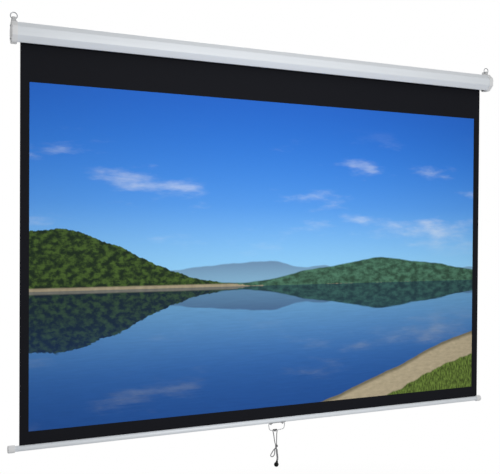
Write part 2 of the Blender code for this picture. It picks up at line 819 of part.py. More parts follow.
def idler_pin(steel):
    """The steel pin pressed into the idler plug, turning in the bush."""
    root = bush_places()["flange_outer"] - PIN_IN_PLUG
    profile = [
        (root, PIN_RADIUS * 0.85),
        (root + PIN_RADIUS * 0.15, PIN_RADIUS),
        (PLATE_OUTER_X - PIN_RADIUS * 0.15, PIN_RADIUS),
        (PLATE_OUTER_X, PIN_RADIUS * 0.85),
    ]
    return turned_x("idler_pin", profile, steel, centre=(0.0, AXIS_Z), steps=SMALL_STEPS)


def roller_tube(steel):
    """The long steel tube that the fabric winds on, between the two plugs' flanges."""
    left = -(lock_places()["flange_outer"] - PLUG_FLANGE - GAP)
    right = bush_places()["flange_outer"] - PLUG_FLANGE - GAP
    return turned_x(
        "roller_tube",
        tube_profile(left, right, ROLLER_RADIUS, ROLLER_BORE),
        steel,
        centre=(0.0, AXIS_Z),
        closed=True,
    )


def fabric_roll(cloth):
    """The turns of fabric that stay wound on the roller."""
    return turned_x(
        "fabric_roll",
        tube_profile(-FABRIC_HALF, FABRIC_HALF, ROLL_RADIUS, ROLLER_RADIUS + GAP),
        cloth,
        centre=(0.0, AXIS_Z),
        closed=True,
    )


def screen_fabric(cloth):
    """The hanging sheet, from the back of the roller down into the bar's slot."""
    half = FABRIC_THICKNESS / 2
    lower = BAR_Z + hem_rod_rise() + HEM_ROD_RADIUS + GAP
    outline = [
        (FABRIC_Y - half, AXIS_Z),
        (FABRIC_Y + half, AXIS_Z),
        (FABRIC_Y + half, lower),
        (FABRIC_Y - half, lower),
    ]
    return prism_x("screen_fabric", outline, -FABRIC_HALF, FABRIC_HALF, cloth)


def hem_rod_rise():
    """How far the hem rod's axis lies above the bar's axis."""
    return BAR_RADIUS - BAR_WALL - GAP - HEM_ROD_RADIUS


def hem_rod(plastic):
    """The rod in the fabric's hem, which can't pass through the bar's slot."""
    half = bar_tube_half() - HEM_ROD_SETBACK
    return turned_x(
        "hem_rod",
        [(BAR_SHIFT - half, HEM_ROD_RADIUS), (BAR_SHIFT + half, HEM_ROD_RADIUS)],
        plastic,
        centre=(FABRIC_Y, BAR_Z + hem_rod_rise()),
        steps=FINE_STEPS,
    )


def bar_tube_half():
    """Half the length of the bar's tube, which ends inside its caps."""
    return BAR_HALF_LENGTH - BAR_CAP_END - GAP


def bottom_bar(paint):
    """The round weighted tube at the fabric's foot, slotted along its top."""
    slot_turn = asin(BAR_SLOT / 2 / BAR_RADIUS)
    steps = 36
    path = []
    for step in range(steps + 1):
        turn = pi / 2 - slot_turn - (2 * pi - 2 * slot_turn) * step / steps
        path.append((FABRIC_Y + BAR_RADIUS * cos(turn), BAR_Z + BAR_RADIUS * sin(turn)))
    section = path + offset_right(path, BAR_WALL)[::-1]
    half = bar_tube_half()
    bar = prism_x("bottom_bar", section, BAR_SHIFT - half, BAR_SHIFT + half, paint)
    for x in bracket_screw_places():
        use_tool(bar, bracket_hole_tool("bottom_bar", x, paint), "DIFFERENCE")
    return bar


def bar_cap(name, side, plastic):
    """A moulded cup on the end of the bar, with a rounded outer end and a slot for the fabric."""
    open_end = BAR_HALF_LENGTH - BAR_CAP_LENGTH
    profile = [(open_end, BAR_CAP_RADIUS - BAR_CAP_ROUNDING / 4)]
    profile.append((open_end + BAR_CAP_ROUNDING / 4, BAR_CAP_RADIUS))
    for step in range(5):
        turn = (pi / 2) * step / 4
        profile.append(
            (
                BAR_HALF_LENGTH - BAR_CAP_ROUNDING * (1 - sin(turn)),
                BAR_CAP_RADIUS - BAR_CAP_ROUNDING * (1 - cos(turn)),
            )
        )
    bore = BAR_RADIUS + GAP
    floor = BAR_HALF_LENGTH - BAR_CAP_END
    rings = [(BAR_SHIFT + side * x, r) for x, r in profile]
    cap = turned_x(name, rings, plastic, centre=(FABRIC_Y, BAR_Z))
    hollow = turned_x(
        name + "_bore_tool",
        [(BAR_SHIFT + side * (open_end - BAR_CAP_LENGTH), bore), (BAR_SHIFT + side * floor, bore)],
        plastic,
        centre=(FABRIC_Y, BAR_Z),
    )
    use_tool(cap, hollow, "DIFFERENCE")
    slot_end = FABRIC_HALF + abs(BAR_SHIFT) + RUNNING_GAP
    if slot_end > open_end:
        half = BAR_SLOT / 2
        outline = [
            (FABRIC_Y - half, BAR_Z), (FABRIC_Y + half, BAR_Z),
            (FABRIC_Y + half, BAR_Z + 2 * BAR_CAP_RADIUS),
            (FABRIC_Y - half, BAR_Z + 2 * BAR_CAP_RADIUS),
        ]
        start = BAR_SHIFT + side * (open_end - BAR_CAP_LENGTH)
        slot = prism_x(name + "_slot_tool", outline, start, BAR_SHIFT + side * slot_end, plastic)
        use_tool(cap, slot, "DIFFERENCE")
    return cap


def bracket_screw_places():
    """Where along X the handle bracket is screwed to the bar."""
    return (
        HANDLE_SHIFT - BRACKET_SCREW_SPACING / 2,
        HANDLE_SHIFT + BRACKET_SCREW_SPACING / 2,
    )


def bracket_hole_tool(name, x, material):
    """An upright round tool for a bracket screw's hole in the bar or the bracket."""
    radius = BRACKET_SCREW_SHANK / 2 + HOLE_GAP
    return turned_z(
        f"{name}_screw_tool_{'left' if x < HANDLE_SHIFT else 'right'}",
        [(BAR_Z - 2 * BAR_RADIUS, radius), (BAR_Z - BAR_RADIUS / 2, radius)],
        material,
        (x, FABRIC_Y),
        steps=FINE_STEPS,
    )


def handle_bracket(steel):
    """A saddle under the bar, with an ear at each end for the bail's turned-in wire."""
    inner = BAR_RADIUS + GAP
    steps = 10
    path = []
    for step in range(steps + 1):
        turn = -pi / 2 + BRACKET_HALF_ANGLE - 2 * BRACKET_HALF_ANGLE * step / steps
        path.append((FABRIC_Y + BRACKET_OUTER * cos(turn), BAR_Z + BRACKET_OUTER * sin(turn)))
    section = path + offset_right(path, BRACKET_OUTER - inner)[::-1]
    half = BRACKET_LENGTH / 2
    bracket = prism_x(
        "handle_bracket", section, HANDLE_SHIFT - half, HANDLE_SHIFT + half, steel
    )
    for x in bracket_screw_places():
        use_tool(bracket, bracket_hole_tool("handle_bracket", x, steel), "DIFFERENCE")
    for side in (-1, 1):
        ear = prism_x(
            f"handle_bracket_ear_tool_{side + 1}",
            ear_outline(),
            HANDLE_SHIFT + side * EAR_INSET,
            HANDLE_SHIFT + side * (EAR_INSET + EAR_THICKNESS),
            steel,
        )
        use_tool(bracket, ear, "UNION")
    bore = turned_x(
        "handle_bracket_pivot_tool",
        [(HANDLE_SHIFT - half, BAIL_WIRE / 2 + HOLE_GAP),
         (HANDLE_SHIFT + half, BAIL_WIRE / 2 + HOLE_GAP)],
        steel,
        centre=(FABRIC_Y, PIVOT_Z),
        steps=FINE_STEPS,
    )
    use_tool(bracket, bore, "DIFFERENCE")
    return bracket


def ear_outline():
    """A tab with a round lower end about the bail's pivot."""
    half = EAR_WIDTH / 2
    top = BAR_Z - BRACKET_OUTER + BRACKET_THICKNESS / 2
    round_radius = BAIL_WIRE / 2 + HOLE_GAP + 0.0017
    points = [(FABRIC_Y + half, top)]
    for step in range(9):
        turn = -pi * step / 8
        points.append(
            (FABRIC_Y + round_radius * cos(turn), PIVOT_Z + round_radius * sin(turn))
        )
    points.append((FABRIC_Y - half, top))
    return points


def bracket_screw(name, x, steel):
    """A pan head screw up through the bracket into the bar's wall."""
    seat = BAR_Z - BRACKET_OUTER - GAP
    shank = BRACKET_SCREW_SHANK / 2
    head = BRACKET_SCREW_HEAD / 2
    profile = [
        (seat - BRACKET_SCREW_HEAD_HEIGHT, head * 0.5),
        (seat - BRACKET_SCREW_HEAD_HEIGHT * 0.6, head * 0.93),
        (seat, head),
        (seat, shank),
        (seat + BRACKET_SCREW_GRIP, shank),
    ]
    return turned_z(name, profile, steel, (x, FABRIC_Y), steps=FINE_STEPS)


def pull_handle(steel):
    """The wire bail: two ends turned in through the ears, and a wide U with a low foot."""
    half_top = BAIL_WIDTH / 2 - BAIL_WIRE / 2
    half_shoulder = BAIL_SHOULDER_WIDTH / 2
    shoulder_z = PIVOT_Z - BAIL_SHOULDER_DROP
    ear_inner = EAR_INSET - 2 * GAP
    corners = [
        (-ear_inner, PIVOT_Z),
        (-half_top, PIVOT_Z),
        (-half_shoulder, shoulder_z),
        (HITCH_SHIFT - BAIL_FOOT / 2, BAIL_Z),
        (HITCH_SHIFT + BAIL_FOOT / 2, BAIL_Z),
        (half_shoulder, shoulder_z),
        (half_top, PIVOT_Z),
        (ear_inner, PIVOT_Z),
    ]
    radii = (BAIL_TURN_IN, BAIL_CORNER, BAIL_TURN_IN, BAIL_TURN_IN, BAIL_CORNER, BAIL_TURN_IN)
    points = [(HANDLE_SHIFT + x, FABRIC_Y, z) for x, z in filleted(corners, radii)]
    return wire("pull_handle", points, BAIL_WIRE, steel)


def hitch(direction):
    """The turns of the cord round the bail's lower wire, from its middle outwards."""
    last = 2 * pi * CORD_WRAP_TURNS
    steps = 11
    middle_x = HANDLE_SHIFT + HITCH_SHIFT
    # the two halves of the cord meet end to end on top of the wire
    points = [
        (middle_x, FABRIC_Y - direction * GAP / 2, BAIL_Z + WRAP_RADIUS),
        (middle_x, FABRIC_Y - direction * CORD_DIAMETER / 3, BAIL_Z + WRAP_RADIUS),
    ]
    for i in range(1, steps + 1):
        turn = last * i / steps
        points.append(
            (
                middle_x + direction * CORD_WRAP_PITCH * turn / (2 * pi),
                FABRIC_Y - direction * WRAP_RADIUS * sin(turn),
                BAIL_Z + WRAP_RADIUS * cos(turn),
            )
        )
    return points


def placed(route):
    """A cord's hand placed points, given from the bail's lower wire, in millimetres."""
    return [
        (HANDLE_SHIFT + x / 1000, FABRIC_Y + y / 1000, BAIL_Z + z / 1000) for x, y, z in route
    ]


# From the hitch's front right, past the knot, to the ball's neck
PULL_ROUTE = [
    (-0.2, -4.1, -6), (-1.2, -3.7, -18), (-1.0, -2.6, -34), (-0.4, -1.0, -50), (0.0, 0.0, -61),
    (0.0, 0.0, -69), (0.0, 0.0, -78), (-0.9, 0.0, -88), (-0.9, 0.0, -97.5), (0.7, 0.0, -109),
    (2.3, 0.0, -120), (2.5, 0.0, -128.5), (0.8, 0.0, -136.4),
]
# From the hitch's back left, down to the knot
TIE_ROUTE = [
    (-16.0, 4.0, -6), (-13.2, 3.7, -17), (-10.8, 3.0, -34), (-8.4, 2.2, -50), (-6.4, 1.4, -59),
]
# The small bight that the tie makes below the knot, and its way behind the pulled cord
BIGHT_ROUTE = [
    (-8.2, -3.0, -80), (-14.0, -2.8, -84.5), (-18.6, -2.0, -91), (-23.0, -1.0, -98),
    (-27.4, -0.3, -105.5), (-28.3, 0.0, -111), (-25.0, 0.0, -115.6), (-19.5, 0.2, -116.4),
    (-13.6, 0.6, -113.6), (-9.8, 1.2, -107.5), (-8.2, 1.8, -100.5), (-7.0, 3.0, -93),
    (-5.2, 4.6, -87), (-1.6, 5.6, -83.8), (2.2, 5.0, -84.6), (4.4, 2.8, -88.6),
]
PAIRED_POINTS = 5  # at the end of the pull route, where the tie's end runs beside it


def paired_route():
    """Where the tie's end runs down beside the pulled cord, on its right."""
    lead = [Vector(point) for point in placed(PULL_ROUTE)]
    ahead = lead[1:] + [2 * lead[-1] - lead[-2]]
    pairs = []
    for i in range(len(lead) - PAIRED_POINTS, len(lead)):
        along = (ahead[i] - lead[i]).normalized()
        pairs.append(lead[i] + PAIR_SPACING * along.cross(Vector((0.0, 1.0, 0.0))))
    return [tuple(point) for point in pairs]


def pull_cord(cord):
    """The cord that is pulled: half of the hitch, then down to the ball."""
    route = hitch(1)
    route += smooth_curve([route[-1]] + placed(PULL_ROUTE), CORD_DIAMETER * 2.6)[1:]
    print_least_gap("pull_cord", route, CORD_DIAMETER)
    return wire("pull_cord", route, CORD_DIAMETER, cord)


def tie_cord(cord):
    """The tie: the rest of the hitch, the knot, a bight, and its end down to the ball."""
    route = hitch(-1)
    route += smooth_curve([route[-1]] + placed(TIE_ROUTE), CORD_DIAMETER * 2.6)[1:]
    radius = CORD_DIAMETER + GAP + HOLE_GAP
    knot = []
    steps = 9 * KNOT_TURNS
    for i in range(steps + 1):
        turn = pi + 2 * pi * KNOT_TURNS * i / steps
        knot.append(
            (
                HANDLE_SHIFT + KNOT_X + radius * cos(turn),
                FABRIC_Y + radius * sin(turn),
                BAIL_Z + KNOT_TOP - KNOT_PITCH * KNOT_TURNS * i / steps,
            )
        )
    route += knot
    bight = placed(BIGHT_ROUTE) + paired_route()
    route += smooth_curve([route[-1]] + bight, CORD_DIAMETER * 2.4)[1:]
    print_least_gap("tie_cord", route, CORD_DIAMETER)
    return wire("tie_cord", route, CORD_DIAMETER, cord)


def pull_ball(plastic):
    """The pear shaped knob, hung in line with the two cords that end in its neck."""
    before, end = (Vector(point) for point in placed(PULL_ROUTE)[-2:])
    along = (end - before).normalized()
    across = Vector((0.0, 1.0, 0.0))
    beside = along.cross(across)
    top = end + beside * PAIR_SPACING / 2
    centre = GAP + BALL_HEIGHT - BALL_RADIUS
    neck = (PAIR_SPACING + CORD_DIAMETER) / 2 + BALL_NECK_RIM
    profile = [(GAP, neck * 0.9), (GAP + 0.0008, neck), (GAP + BALL_NECK_HEIGHT, neck)]
    shoulder = asin((centre - GAP - BALL_SHOULDER) / BALL_RADIUS)
    steps = 10
    for i in range(steps + 1):
        turn = -shoulder + (pi / 2 - 0.12 + shoulder) * i / steps
        profile.append((centre + BALL_RADIUS * sin(turn), BALL_RADIUS * cos(turn)))
    rings = []
    for distance, radius in profile:
        turns = [2 * pi * i / SMALL_STEPS for i in range(SMALL_STEPS)]
        middle = top + along * distance
        rings.append([middle + radius * (across * cos(a) + beside * sin(a)) for a in turns])
    return loft("pull_ball", rings, plastic)


def build():
    """Make every piece, and hang the moving ones on their joints."""
    clear_scene()
    white_paint = make_material("white_paint", (0.72, 0.75, 0.78), 0.35)
    white_plastic = make_material("white_plastic", (0.70, 0.71, 0.72), 0.45)
    zinc = make_material("zinc_steel", (0.62, 0.63, 0.63), 0.35, 1.0)
    spring_steel = make_material("spring_steel", (0.30, 0.31, 0.33), 0.4, 1.0)
    grey_plastic = make_material("grey_plastic", (0.30, 0.31, 0.33), 0.5)
    nylon = make_material("nylon", (0.80, 0.79, 0.74), 0.5)
    cloth = make_material("black_pvc_fabric", (0.012, 0.012, 0.014), 0.6)
    cord = make_material("grey_cord", (0.19, 0.19, 0.195), 0.9)
    black_plastic = make_material("black_gloss_plastic", (0.01, 0.01, 0.01), 0.2)

    case_tube(white_paint)
    for name, side in (("left", -1), ("right", 1)):
        end_cap(f"{name}_end_cap", side, white_plastic)
        for level, z in zip(("upper", "lower"), cap_screw_heights()):
            cap_screw(f"{name}_cap_screw_{level}", side, z, zinc)

    shaft_hole = prism_x(
        "left_bearing_plate_hole_tool",
        square_outline(SHAFT_SIDE + 2 * GAP, (0.0, AXIS_Z)),
        -CASE_HALF,
        -CASE_HALF + CAP_LENGTH,
        zinc,
    )
    bearing_plate("left_bearing_plate", -1, zinc, shaft_hole)
    bush_radius = PIN_RADIUS + HOLE_GAP + BUSH_WALL + GAP
    bush_hole = turned_x(
        "right_bearing_plate_hole_tool",
        [(CASE_HALF - CAP_LENGTH, bush_radius), (CASE_HALF, bush_radius)],
        zinc,
        centre=(0.0, AXIS_Z),
        steps=SMALL_STEPS,
    )
    bearing_plate("right_bearing_plate", 1, zinc, bush_hole)
    idler_bush(nylon)
    spring_shaft(zinc)
    spring_anchor(zinc)
    torsion_spring(spring_steel)
    lock_ratchet(zinc)
    screen_fabric(cloth)

    turning = [
        roller_tube(zinc),
        fabric_roll(cloth),
        idler_plug(grey_plastic),
        idler_pin(zinc),
        lock_plug(grey_plastic),
    ]
    turning += [pawl_pin(name, zinc) for name in ("upper", "lower")]
    roller = moving_group("roller_axis", (0.0, 0.0, AXIS_Z), turning)
    for name, (y, z) in pawl_pivots().items():
        pivot = moving_group(f"{name}_pawl_axis", (0.0, y, z), [pawl(name, zinc)])
        pivot.parent = roller
        pivot.matrix_parent_inverse = Matrix.Translation((0.0, 0.0, AXIS_Z)).inverted()

    for name, side in (("left", -1), ("right", 1)):
        ring = hanging_ring(f"{name}_hanging_ring", side, zinc)
        hole = (side * CAP_MIDDLE_X, 0.0, AXIS_Z + RING_HOLE_Z)
        moving_group(f"{name}_ring_axis", hole, [ring])

    sliding = [bottom_bar(white_paint), hem_rod(grey_plastic)]
    sliding += [bar_cap("left_bar_cap", -1, white_plastic), bar_cap("right_bar_cap", 1, white_plastic)]
    sliding.append(handle_bracket(zinc))
    for name, x in zip(("left", "right"), bracket_screw_places()):
        sliding.append(bracket_screw(f"{name}_bracket_screw", x, zinc))
    bar_place = (BAR_SHIFT, FABRIC_Y, BAR_Z)
    bar_axis = moving_group("bar_travel", bar_place, sliding)

    pivot_place = (HANDLE_SHIFT, FABRIC_Y, PIVOT_Z)
    handle_axis = moving_group("handle_axis", pivot_place, [pull_handle(zinc)])
    handle_axis.parent = bar_axis
    handle_axis.matrix_parent_inverse = Matrix.Translation(bar_place).inverted()

    hung = [pull_cord(cord), tie_cord(cord), pull_ball(black_plastic)]
    cord_axis = moving_group("cord_axis", (HANDLE_SHIFT, FABRIC_Y, BAIL_Z), hung)
    cord_axis.parent = handle_axis
    cord_axis.matrix_parent_inverse = Matrix.Translation(pivot_place).inverted()


build()
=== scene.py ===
"""Finish for a manual pull down projector screen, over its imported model.

Laid out as a Blender add-on and run as a script. Metres, +Z up, and the picture faces -Y.
The screen hangs on two rings whose hooks are level with the origin.
"""

from math import asin, atan2, cos, degrees, exp, hypot, pi, radians, sin, sqrt

import bmesh
import bpy
from bpy.props import FloatProperty, FloatVectorProperty, IntProperty, PointerProperty
from bpy.types import Operator, Panel, PropertyGroup
from mathutils import Matrix, Vector


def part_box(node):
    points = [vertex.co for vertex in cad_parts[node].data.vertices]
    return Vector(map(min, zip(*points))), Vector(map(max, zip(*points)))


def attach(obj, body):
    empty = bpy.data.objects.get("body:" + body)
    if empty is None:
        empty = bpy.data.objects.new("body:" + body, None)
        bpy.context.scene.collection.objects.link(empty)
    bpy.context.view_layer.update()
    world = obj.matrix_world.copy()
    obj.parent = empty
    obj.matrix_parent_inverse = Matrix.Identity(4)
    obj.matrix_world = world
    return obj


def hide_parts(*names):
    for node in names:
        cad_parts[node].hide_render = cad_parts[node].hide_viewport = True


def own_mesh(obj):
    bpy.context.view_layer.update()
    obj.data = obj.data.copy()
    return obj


bl_info = {
    "name": "Pull Down Projector Screen",
    "version": (1, 0, 0),
    "blender": (4, 5, 0),
    "location": "3D View > Sidebar > Projector Screen",
    "description": "Cloth, cord, hardware and finishes for a pull down projector screen",
    "category": "Object",
}

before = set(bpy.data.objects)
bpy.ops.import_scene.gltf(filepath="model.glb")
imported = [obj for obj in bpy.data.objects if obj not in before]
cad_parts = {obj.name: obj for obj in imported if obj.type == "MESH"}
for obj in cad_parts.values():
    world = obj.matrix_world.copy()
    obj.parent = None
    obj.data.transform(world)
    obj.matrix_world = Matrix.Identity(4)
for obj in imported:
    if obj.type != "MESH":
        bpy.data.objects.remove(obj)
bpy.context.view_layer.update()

SHEET_LOW, SHEET_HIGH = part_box("screen_fabric")
ROLL_LOW, ROLL_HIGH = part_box("fabric_roll")
BAIL_LOW, BAIL_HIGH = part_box("pull_handle")
TUBE_LOW, TUBE_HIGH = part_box("case_tube")
CAP_LOW, CAP_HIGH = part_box("left_end_cap")

AXIS_Z = (ROLL_LOW.z + ROLL_HIGH.z) / 2
SHEET_Y = (SHEET_LOW.y + SHEET_HIGH.y) / 2
HANDLE_X = (BAIL_LOW.x + BAIL_HIGH.x) / 2
SIDES = (("left", -1), ("right", 1))
STRANDS = 4


def rgb(red, green, blue):
    """A colour given as 0 to 255 screen values, as the linear numbers that shaders use."""
    values = [c / 255 for c in (red, green, blue)]
    return tuple(c / 12.92 if c <= 0.04045 else ((c + 0.055) / 1.055) ** 2.4 for c in values)


def number_property(name, description, default, **options):
    """A number setting for the sidebar."""
    return FloatProperty(name=name, description=description, default=default, **options)


def length_property(name, description, default):
    """A length setting for the sidebar."""
    return number_property(name, description, default, unit="LENGTH", precision=5, min=0.0)


def colour_property(name, description, default):
    """A colour setting for the sidebar."""
    return FloatVectorProperty(
        name=name, description=description, default=default, subtype="COLOR", min=0.0, max=1.0
    )


class ScreenSizes(PropertyGroup):
    """Sizes of the cloth, cord and hardware."""

    picture_width: length_property("Picture Width", "Width of the white picture area", 2.154)
    picture_height: length_property("Picture Height", "Height of the picture area", 1.346)
    picture_drop: length_property(
        "Picture Drop", "From the roller's axis down to the top of the picture", 0.1793
    )
    sheet_wave: length_property("Sheet Wave", "How far the sheet's folds reach back", 0.0006)
    sheet_columns: IntProperty(
        name="Sheet Columns", description="Faces across the picture area", default=88, min=8
    )
    sheet_rows: IntProperty(
        name="Sheet Rows", description="Faces down the picture area", default=56, min=8
    )
    roll_turns: number_property("Roll Turns", "Turns of cloth left on the roller", 1.75, min=1.0)
    cord_diameter: length_property("Cord Diameter", "Thickness of the braided cord", 0.004)
    braid_pitch: length_property("Braid Pitch", "Length of one turn of a strand", 0.016)
    braid_depth: length_property("Braid Depth", "Height of a strand over its neighbours", 0.00016)
    ring_wire: length_property("Ring Wire", "Thickness of the hanging rings' wire", 0.004)
    bail_wire: length_property("Bail Wire", "Thickness of the pull handle's wire", 0.003)
    case_corner: length_property("Case Corner", "Outside radius of the case's corners", 0.006)
    case_wall: length_property("Case Wall", "Thickness of the case's sheet", 0.0012)


class ScreenColours(PropertyGroup):
    """Colours of the finishes, and of the generic landscape that the screen shows."""

    paint: colour_property("Paint", "White paint on the case and the bar", rgb(226, 231, 236))
    moulding: colour_property("Moulding", "Light grey plastic of the caps", rgb(229, 230, 231))
    zinc: colour_property("Zinc", "Plated steel", rgb(152, 154, 157))
    spring: colour_property("Spring", "Oiled spring steel", rgb(118, 120, 124))
    grey_plastic: colour_property("Grey Plastic", "Plugs inside the roller", rgb(140, 143, 147))
    nylon: colour_property("Nylon", "Natural nylon bush", rgb(228, 226, 218))
    cloth_black: colour_property("Cloth Black", "Border and back of the sheet", rgb(20, 21, 26))
    cord: colour_property("Cord", "Braided cord", rgb(121, 121, 123))
    ball: colour_property("Ball", "Polished knob on the cord", rgb(6, 6, 7))
    sky_high: colour_property("High Sky", "Sky at the top of the picture", rgb(31, 94, 198))
    sky_middle: colour_property("Middle Sky", "Sky half way up", rgb(60, 148, 246))
    sky_low: colour_property("Low Sky", "Sky at the horizon", rgb(168, 228, 255))
    cloud: colour_property("Cloud", "Soft clouds", rgb(238, 244, 251))
    far_hill: colour_property("Far Hills", "Hazy ridge on the horizon", rgb(104, 136, 172))
    middle_hill: colour_property("Middle Hills", "Hills across the bay", rgb(58, 92, 74))
    leaf_dark: colour_property("Dark Leaves", "Shaded trees of the headland", rgb(20, 38, 22))
    leaf_light: colour_property("Light Leaves", "Sunlit trees of the headland", rgb(74, 100, 44))
    water: colour_property("Water", "Depth colour of the bay", rgb(24, 62, 122))
    sand: colour_property("Sand", "Sandy shore", rgb(190, 176, 146))
    grass: colour_property("Grass", "Grass behind the shore", rgb(98, 120, 52))


class StageSettings(PropertyGroup):
    """The camera, lamps and floor."""

    camera_place: FloatVectorProperty(
        name="Camera Place",
        description="Where the camera stands",
        default=(-1.4547, -2.9304, -0.8095),
        subtype="TRANSLATION",
        unit="LENGTH",
    )
    camera_yaw: number_property("Yaw", "Turn right of +Y", radians(23.919), subtype="ANGLE")
    camera_pitch: number_property(
        "Pitch", "Tilt above the horizon", radians(-0.659), subtype="ANGLE"
    )
    camera_roll: number_property("Roll", "Turn about the view", radians(0.357), subtype="ANGLE")
    lens: number_property("Lens", "Focal length", 53.29, unit="CAMERA")
    daylight: number_property("Daylight", "Level of the even light all round", 0.36, min=0.0)
    front_lamp: number_property("Front Lamp", "Power of the lamp in front", 39.0, unit="POWER")
    back_lamp: number_property("Back Lamp", "Power of the lamp behind", 45.0, unit="POWER")
    floor_height: number_property("Floor Height", "Height of the floor", -2.45, unit="LENGTH")
    floor_colour: colour_property("Floor", "Colour of the floor", (0.7, 0.7, 0.7))


# Node helpers


class Wire:
    """A shader node's output that takes plain arithmetic, each step of it a Math node."""

    def __init__(self, socket):
        self.socket, self.tree = socket, socket.id_data

    def __add__(self, other):
        return maths("ADD", self, other)

    def __sub__(self, other):
        return maths("SUBTRACT", self, other)

    def __rsub__(self, other):
        return maths("SUBTRACT", other, self)

    def __mul__(self, other):
        return maths("MULTIPLY", self, other)

    def __truediv__(self, other):
        return maths("DIVIDE", self, other)


def add_node(tree, kind, inputs=None, **options):
    """Add a node, set its options, fill or link its inputs, and return its outputs."""
    made = tree.nodes.new(kind)
    for key, value in options.items():
        setattr(made, key, value)
    for key, value in (inputs or {}).items():
        value = getattr(value, "socket", value)
        if isinstance(value, bpy.types.NodeSocket):
            tree.links.new(value, made.inputs[key])
        else:
            made.inputs[key].default_value = value
    return made.outputs


def shader_node(kind, inputs, output=0, **options):
    """One output of a node that is added beside the wires that feed it."""
    tree = next(value.tree for value in inputs.values() if isinstance(value, Wire))
    return Wire(add_node(tree, kind, inputs, **options)[output])


def connect(wires, sockets):
    """Link each wire to the socket of its name."""
    for name, wire in wires.items():
        wire.tree.links.new(wire.socket, sockets[name])


def maths(operation, *values):
    """One Math node's result."""
    return shader_node("ShaderNodeMath", dict(enumerate(values)), operation=operation)


def fade(value, start, end, low=0.0, high=1.0):
    """A smooth change from low to high as value goes from start to end."""
    inputs = {0: value, 1: start, 2: end, 3: low, 4: high}
    return shader_node("ShaderNodeMapRange", inputs, interpolation_type="SMOOTHSTEP")


def noise(vector, scale, detail, roughness):
    """A noise texture's value."""
    inputs = {"Vector": vector, "Scale": scale, "Detail": detail, "Roughness": roughness}
    return shader_node("ShaderNodeTexNoise", inputs)


def scaled(vector, x, y, z):
    """A vector stretched on each axis."""
    inputs = {0: vector, 1: (x, y, z)}
    return shader_node("ShaderNodeVectorMath", inputs, operation="MULTIPLY")


def split(vector):
    """The X and Y of a vector."""
    return [Wire(s) for s in add_node(vector.tree, "ShaderNodeSeparateXYZ", {0: vector})[:2]]


def joined(x, y):
    """A vector of X and Y."""
    return shader_node("ShaderNodeCombineXYZ", {0: x, 1: y})


def opaque(colour):
    """A colour with full alpha, as sockets take it, or a wire as it is."""
    return colour if isinstance(colour, Wire) else (*colour, 1.0)


def blend(share, first, second, kind="MIX"):
    """A mix of two colours."""
    inputs = {0: share, 6: opaque(first), 7: opaque(second)}
    return shader_node("ShaderNodeMix", inputs, 2, data_type="RGBA", blend_type=kind)


def shade(colour, factor):
    """A darker or lighter tone of a colour."""
    return [min(1.0, c * factor) for c in colour]


def two_tone(share, colour, dark, light):
    """A mix of a darker and a lighter tone of one colour."""
    return blend(share, shade(colour, dark), shade(colour, light))


def dimmed(colour, factor):
    """A wire's colour times a number."""
    inputs = {0: colour, "Scale": factor}
    return shader_node("ShaderNodeVectorMath", inputs, operation="SCALE")


def titled(build):
    """A node tree's name, from that of the function that builds it."""
    return build.__name__.replace("_", " ").title()


def add_sockets(tree, way, kinds):
    """Give a node tree inputs or outputs, each name with its kind of socket."""
    for name, kind in kinds.items():
        tree.interface.new_socket(name=name, in_out=way, socket_type="NodeSocket" + kind)


def shader_kinds(names):
    """A socket by the name of Vector or Colour is one, and any other is a number."""
    return {name: {"Vector": "Vector", "Colour": "Color"}.get(name, "Float") for name in names}


def place_group(build, inputs):
    """Place a node group, built when it is first used, and return its outputs by name."""
    name = titled(build)
    group = bpy.data.node_groups.get(name)
    if group is None:
        group = bpy.data.node_groups.new(name, "ShaderNodeTree")
        add_sockets(group, "INPUT", shader_kinds(inputs))
        given = group.nodes.new("NodeGroupInput").outputs
        made = build({name: Wire(given[name]) for name in inputs})
        add_sockets(group, "OUTPUT", shader_kinds(made))
        connect(made, group.nodes.new("NodeGroupOutput").inputs)
    tree = inputs["Vector"].tree
    outputs = add_node(tree, "ShaderNodeGroup", inputs, node_tree=group)
    return {socket.name: Wire(socket) for socket in outputs}


def uneven_surface(given):
    """Uneven colour in soft patches, and fine grain, for paint, plastic and plating."""
    place, amount, spread = given["Vector"], given["Patch Amount"], given["Roughness Spread"]
    swing = noise(place, given["Patch Scale"], 4.0, 0.6) - 0.5
    grain = noise(place, given["Grain Scale"], 3.0, 0.55)
    bright = swing * amount + 1.0 - amount * 0.1
    rough = (grain - 0.5) * spread + (swing * spread + given["Roughness"])
    return {"Colour": dimmed(given["Colour"], bright), "Roughness": rough, "Height": grain}


def long_marks(given):
    """Faint lines along X, as rolling, drawing and wiping leave on long metal pieces."""
    lines = noise(scaled(given["Vector"], 0.012, 1.0, 1.0), given["Spacing Scale"], 2.0, 0.5)
    mask = fade(lines, 0.52, 0.75)
    return {"Colour": dimmed(given["Colour"], 1.0 - mask * given["Amount"])}


def cloth_grain(given):
    """The fine crossed threads that show through a coated cloth, over metres in X and Y."""
    x, y = split(given["Vector"])
    turns = given["Threads Per Metre"] * pi
    weave = maths("SINE", x * turns) * maths("SINE", y * turns)
    slub = noise(scaled(given["Vector"], 1.0, 14.0, 1.0), 30.0, 3.0, 0.6)
    return {"Height": weave * 0.5 + 0.5, "Slub": slub}


# Materials


def new_material(name, **constants):
    """A material, and its Principled shader with its own sockets set."""
    material = bpy.data.materials.new(name)
    material.use_nodes = True
    shader = material.node_tree.nodes["Principled BSDF"]
    for key, value in constants.items():
        shader.inputs[key.replace("_", " ")].default_value = value
    return material, shader


def coordinates(shader, kind):
    """Places on the piece: Object in metres, or UV in the piece's own map."""
    return Wire(shader.id_data.nodes.new("ShaderNodeTexCoord").outputs[kind])


